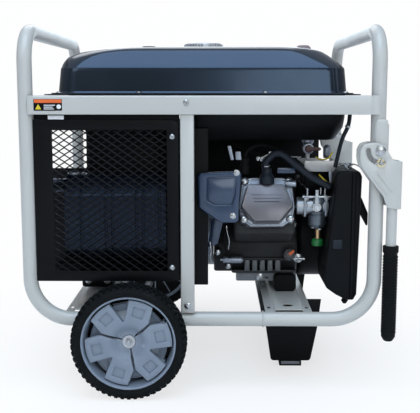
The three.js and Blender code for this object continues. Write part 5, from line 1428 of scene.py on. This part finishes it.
def control_panel():
    x, y, z = cad("control_panel_box")
    box = plate("y", rectangle(x, z, 6), y[0], y[1], edge=2)
    louvres = [slab((60 + 22 * i, 74 + 22 * i), (y[0] + 10, y[1] - 10), (z[1] - 0.4, z[1] + 1.2), 2)
               for i in range(8)]
    piece("control_box", join([box, *louvres]), "black", replaces=["control_panel_box"])
    (x0, x1), (f0, f1), (z0, z1) = cad("control_panel_face")
    piece("control_panel_plate", plate("y", rectangle((x0, x1), (z0, z1), 9), f0, f1, edge=1.2), "plastic",
          replaces=["control_panel_face"])
    face = f1
    trims = [plate("y", rectangle(u, v, 5), face - 0.4, face + 0.9, edge=0.5,
                   holes=[rectangle((u[0] + 2, u[1] - 2), (v[0] + 2, v[1] - 2), 4)])
             for u, v in (((0, 130), (300, 372)), ((142, 276), (300, 372)), ((0, 276), (382, 460)))]
    piece("control_panel_trims", join(trims), "grey")
    twist = [outlet(at, face) for at in ((166, 336), (212, 336), (256, 336))]
    piece("twist_lock_outlets", join(twist), "plastic")
    columns = (20, 72)
    duplex = []
    for u in columns:
        for v in (322, 350):
            blades = [rectangle((u + 10 + s, u + 12.4 + s), (v - 5, v + 4), 0.4) for s in (0, 13)]
            blades.append(circle((u + 17.6, v - 8), 2.4, 12))
            duplex.append(plate("y", rectangle((u, u + 36), (v - 12, v + 12), 7), face, face + 2.6,
                                holes=blades, edge=0.7))
    piece("duplex_outlets", join(duplex), "white")
    frames = [plate("y", rectangle((u - 5, u + 41), (306, 366), 3), face - 0.3, face + 0.8, edge=0.4)
              for u in columns]
    piece("duplex_plates", join(frames), "grey")
    hinge = rounded([(face, 366), (face + 5, 368, 2), (face + 5, 372, 2), (face, 372)])
    hinges = [plate("x", hinge, u - 5, u + 41, edge=0.5) for u in columns]
    piece("outlet_hood_hinges", join(hinges), "plastic")

    meter = plate("y", rectangle((90, 140), (402, 446), 4), face, face + 5,
                  holes=[rectangle((94, 136), (412, 442), 2)], edge=1)
    piece("voltmeter_bezel", meter, "plastic")
    dial = plate("y", rectangle((92, 138), (410, 444), 2), face, face + 1.4, edge=0.2)
    piece("voltmeter_dial", dial, "white")
    ticks = [plate("y", [(-0.5, 14), (0.5, 14), (0.5, 18), (-0.5, 18)], face + 1.3, face + 1.7, edge=0)
             .turned("Y", turn).moved(115, 0, 414) for turn in range(-50, 51, 20)]
    needle = plate("y", [(-0.6, 0), (0.6, 0), (0.2, 19), (-0.2, 19)], face + 2, face + 2.5, edge=0)
    piece("voltmeter_marks", join([*ticks, needle.turned("Y", 14).moved(115, 0, 414)]), "plastic")
    dome = rounded([(0, face), (6, face), (6, face + 2, 0.5), (4, face + 4.4, 1.5), (0, face + 5)],
                   closed=False)
    glass = [lathe("y", dome, at, 28) for at in ((160, 438), (182, 438))]
    piece("indicator_lamp_oil", glass[0], "red")
    piece("indicator_lamp_run", glass[1], "green")
    button = [(0, face), (4, face), (3.4, face + 7), (0, face + 7)]
    breakers = [join([ring("y", at, 4, 8, face, face + 3), lathe("y", button, at, 24)])
                for at in ((160, 402), (182, 402), (204, 402), (226, 402))]
    piece("push_breakers", join(breakers), "plastic")
    bx, _, bz = cad("main_breaker")
    outer, inner = (rectangle((bx[0] - gap, bx[1] + gap), (bz[0] - gap, bz[1] + gap), corner)
                    for gap, corner in ((5, 3), (1, 1)))
    piece("main_breaker_frame", plate("y", outer, face - 0.2, face + 0.9, holes=[inner], edge=0.4), "grey")
    dress("main_breaker", "plastic", 0.8)
    kx, ky, kz = cad("key_switch")
    middle = ((kx[0] + kx[1]) / 2, (kz[0] + kz[1]) / 2)
    piece("key_bezel", ring("y", middle, 11.6, 16, face, face + 3), "zinc")
    barrel = lathe("y", rounded([(0, ky[0]), (10.8, ky[0]), (10.8, 271, 1), (0, 272)], closed=False),
                   middle, 36)
    bow = plate("x", rounded([(270, 428.5), (286, 428.5, 4), (286, 443.5, 4), (270, 443.5)]), 260, 264,
                holes=[circle((280, 436), 3, 14)], edge=0.8)
    piece("ignition_key", join([barrel, bow]), "zinc", "key", ["key_switch"])
    screws = [pan_screw("y", at, face, 1, 4)
              for at in ((-6, 296), (-6, 462), (278, 296), (278, 462), (136, 296), (136, 462))]
    piece("control_panel_screws", join(screws), "zinc")
    ground = join([bolt("y", (118, 392), face, 1, 5), ring("y", (118, 392), 3, 8, face, face + 1.2)])
    piece("ground_terminal", ground, "brass")


def battery():
    x, y, z = cad("battery")
    lid = z[1] - 8
    case = slab(x, y, (z[0], lid - 16), 5, 1)
    top = slab((x[0] - 0.2, x[1]), (y[0], y[1]), (lid - 15, lid), 5, 1.5)
    ribs = [slab((x[0] + 8 + 11 * i, x[0] + 12 + 11 * i), (y[1] - 0.6, y[1] + 0.8), (z[0] + 8, lid - 20), 0.6)
            for i in range(6)]
    piece("battery_case", join([case, top, *ribs]), "plastic", replaces=["battery"])
    posts = [slab((u, u + 12), (140, 152), (lid - 1, z[1]), 3) for u in (140, 190)]
    piece("battery_posts", join(posts), "zinc")
    strap = [slab((x[0] - 3, x[1] + 3), (190, 204), (lid, lid + 2.2), 0.8)]
    strap += [slab((u, u + 2.2), (190, 204), (z[0], lid + 1.5), 0.8) for u in (x[0] - 3, x[1] + 0.8)]
    piece("battery_strap", join(strap), "black")
    red = flowing([(146, 146, 252), (150, 160, 262), (120, 180, 276), (90, 196, 292), (80, 215, 300)], 8)
    black = flowing([(196, 146, 252), (205, 150, 262), (214, 140, 250), (216, 110, 220), (205, 96, 200)], 8)
    piece("battery_lead_red", sweep(red, 4, 14), "red")
    piece("battery_lead_black", sweep(black, 4, 14), "rubber")


def wiring():
    """Loose harness, linkages and small fittings around the top of the engine."""
    yellow = [flowing([(226, -190, 446), (236, -196, 441.5), (250, -200, 445), (258, -196, 456)], 8),
              flowing([(232, -200, 412), (240, -204, 404), (250, -204, 396), (256, -204, 398)], 8)]
    piece("yellow_wires", join([sweep(path, 1.6, 10) for path in yellow]), "yellow")
    dark = [flowing([(60, -120, 470), (100, -140, 452), (150, -150, 440), (196, -160, 426)], 8),
            flowing([(46, -140, 300), (44, -150, 262), (52, -140, 236), (60, -136, 226)], 8)]
    piece("black_wires", join([sweep(path, 2.6, 12) for path in dark]), "rubber")
    rods = [[(188, -186, 404), (205, -214, 386)], [(150, -168, 446), (196, -190, 446)],
            flowing([(48, -150, 300), (50, -152, 285), (54, -150, 268), (52, -148, 250)], 6),
            flowing([(14, -160, 268), (16, -162, 250), (15, -160, 232), (22, -150, 222)], 6)]
    arm = rounded([(116, 436), (134, 440), (150, 452), (146, 460), (128, 450), (114, 444)], 3)
    fittings = [plate("y", arm, -182, -179, edge=0.6),
                bolt("y", (138, 452), -182, -1, 4),
                bolt("y", (112, 442), -182, -1, 3.4),
                bolt("y", (200, 226), -124, -1, 6.5),
                lathe("x", [(0, 196), (3, 196), (3, 214), (0, 214)], (-128, 226), 16)]
    piece("governor_links", join([*[sweep(rod, 1.5, 10) for rod in rods], *fittings]), "zinc")
    tabs = [plate("y", rounded(outline, 1.5), depth, depth + 1.5, edge=0.4)
            for depth, outline in ((-212, [(49, 470), (56, 470), (62, 442), (56, 442)]),
                                   (-206, [(65, 458), (75, 458), (77, 442), (66, 442)]),
                                   (-209, [(250, 418), (259, 420), (258, 396), (252, 397)]))]
    piece("engine_tabs", join(tabs), "alloy")
    filter_can = lathe("z", rounded([(0, 442), (7, 442, 1), (8, 448, 2), (8, 462, 2), (5, 468, 1),
                                     (0, 470)], closed=False), (252, -162), 28)
    piece("fuel_filter_can", filter_can, "alloy")
    upper = plate("y", rounded([(150, 413), (186, 413), (186, 424), (150, 424)], 2), -186, -183, edge=0.6)
    lower = plate("y", rounded([(8, 250), (30, 262), (44, 320), (20, 320)], 4), -150, -146, edge=0.6)
    piece("engine_brackets", join([upper, lower]), "blue_black")


# ---------------------------------------------------------------- stage


def fading_floor():
    """A pale floor that the camera sees turn into the backdrop away from the machine."""
    material = surface("pale_floor", (0.93, 0.932, 0.935), 0.75, 0.0, 0.01, 2, 0.05, 60)
    tree = material.node_tree
    place = tree.nodes.new("ShaderNodeTexCoord").outputs["Object"]
    reach = tree.nodes.new("ShaderNodeVectorMath")
    reach.operation = "LENGTH"
    tree.links.new(place, reach.inputs[0])
    fade = tree.nodes.new("ShaderNodeMapRange")
    fade.interpolation_type = "SMOOTHSTEP"
    fade.inputs["From Min"].default_value = 0.1
    fade.inputs["From Max"].default_value = 0.9
    fade.inputs["To Min"].default_value = 0.65
    tree.links.new(reach.outputs["Value"], fade.inputs["Value"])
    seen = tree.nodes.new("ShaderNodeMath")
    seen.operation = "MULTIPLY"
    tree.links.new(fade.outputs["Result"], seen.inputs[0])
    tree.links.new(tree.nodes.new("ShaderNodeLightPath").outputs["Is Camera Ray"], seen.inputs[1])
    glow = tree.nodes.new("ShaderNodeEmission")
    glow.inputs["Color"].default_value = (*BACKDROP, 1)
    mix = tree.nodes.new("ShaderNodeMixShader")
    tree.links.new(seen.outputs["Value"], mix.inputs["Fac"])
    tree.links.new(tree.nodes["Principled BSDF"].outputs["BSDF"], mix.inputs[1])
    tree.links.new(glow.outputs["Emission"], mix.inputs[2])
    tree.links.new(mix.outputs["Shader"], tree.nodes["Material Output"].inputs["Surface"])
    return material


def stage():
    floor = bpy.data.meshes.new("floor")
    corners = [(FLOOR_HALF * x, FLOOR_HALF * y, FLOOR_Z) for x, y in ((-1, -1), (1, -1), (1, 1), (-1, 1))]
    floor.from_pydata(corners, [], [(0, 1, 2, 3)])
    floor.materials.append(fading_floor())
    floor_obj = bpy.data.objects.new("floor", floor)
    bpy.context.scene.collection.objects.link(floor_obj)
    floor_obj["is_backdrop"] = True

    world = bpy.data.worlds.new("studio")
    bpy.context.scene.world = world
    world.use_nodes = True
    tree = world.node_tree
    tree.nodes.clear()
    output = tree.nodes.new("ShaderNodeOutputWorld")
    coordinates = tree.nodes.new("ShaderNodeTexCoord").outputs["Generated"]
    split = tree.nodes.new("ShaderNodeSeparateXYZ")
    tree.links.new(coordinates, split.inputs["Vector"])
    ramp = tree.nodes.new("ShaderNodeValToRGB")
    stops = ((0.0, (0.5, 0.5, 0.5)), (0.02, (0.22, 0.225, 0.235)), (0.35, (0.36, 0.38, 0.42)),
             (0.62, (0.30, 0.34, 0.42)), (0.9, (0.6, 0.66, 0.76)))
    while len(ramp.color_ramp.elements) < len(stops):
        ramp.color_ramp.elements.new(0.5)
    for element, (position, colour) in zip(ramp.color_ramp.elements, stops):
        element.position = position
        element.color = (*colour, 1)
    tree.links.new(split.outputs["Z"], ramp.inputs["Fac"])
    sky = tree.nodes.new("ShaderNodeBackground")
    sky.inputs["Strength"].default_value = 1.0
    tree.links.new(ramp.outputs["Color"], sky.inputs["Color"])
    backdrop = tree.nodes.new("ShaderNodeBackground")
    backdrop.inputs["Color"].default_value = (*BACKDROP, 1)
    backdrop.inputs["Strength"].default_value = 1.0
    seen = tree.nodes.new("ShaderNodeLightPath").outputs["Is Camera Ray"]
    mix = tree.nodes.new("ShaderNodeMixShader")
    tree.links.new(seen, mix.inputs["Fac"])
    tree.links.new(sky.outputs["Background"], mix.inputs[1])
    tree.links.new(backdrop.outputs["Background"], mix.inputs[2])
    tree.links.new(mix.outputs["Shader"], output.inputs["Surface"])

    lamps = (("key", (-1.8, -2.8, 2.2), 1.6, 15, (1.0, 0.97, 0.93)),
             ("fill", (2.8, -1.8, 1.6), 1.6, 8, (1.0, 0.98, 0.96)),
             ("card", (1.05, -4.2, 1.5), 1.9, 30, (0.93, 1.0, 1.0)),
             ("sky", (0.0, -1.4, 3.3), 3.0, 80, (0.64, 0.82, 1.0)),
             ("rear", (-0.6, 2.8, 3.4), 3.0, 45, (1.0, 0.98, 0.95)),
             ("horizon", (0.0, 4.6, 1.35), 2.4, 26, (0.8, 0.92, 1.0)))
    for name, place, size, power, colour in lamps:
        light = bpy.data.lights.new(name, "AREA")
        light.shape = "DISK"
        light.size = size
        light.energy = power
        light.color = colour
        lamp = bpy.data.objects.new(name, light)
        lamp.location = place
        lamp.visible_camera = False
        lamp.rotation_euler = (Vector(LAMPS_AIM) - Vector(place)).to_track_quat("-Z", "Y").to_euler()
        bpy.context.scene.collection.objects.link(lamp)


def camera():
    data = bpy.data.cameras.new("camera")
    data.lens = CAMERA_LENS
    data.sensor_width = CAMERA_SENSOR
    view = bpy.data.objects.new("camera", data)
    view.location = CAMERA_AT
    view.rotation_euler = (math.pi / 2 - CAMERA_DOWN, 0, CAMERA_TURN)
    bpy.context.scene.collection.objects.link(view)
    bpy.context.scene.camera = view
    bpy.context.scene.view_settings.view_transform = "Standard"


# ---------------------------------------------------------------- assembly

tube_frame()
rails()
channels()
for wheel_tag, wheel_side in SIDES:
    wheel(wheel_tag, wheel_side)
axle()
support_leg()
handles()
tank()
guard()
muffler()
crankcase()
cylinder_and_head()
hoses()
carburetor()
air_cleaner()
blower_and_recoil()
alternator()
supports()
control_panel()
battery()
wiring()
stage()
camera()

boxes = {"cad": CAD_BOX, "visual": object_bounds()}
({name: [[float(value) for value in corner] for corner in box]
           for name, box in boxes.items()})
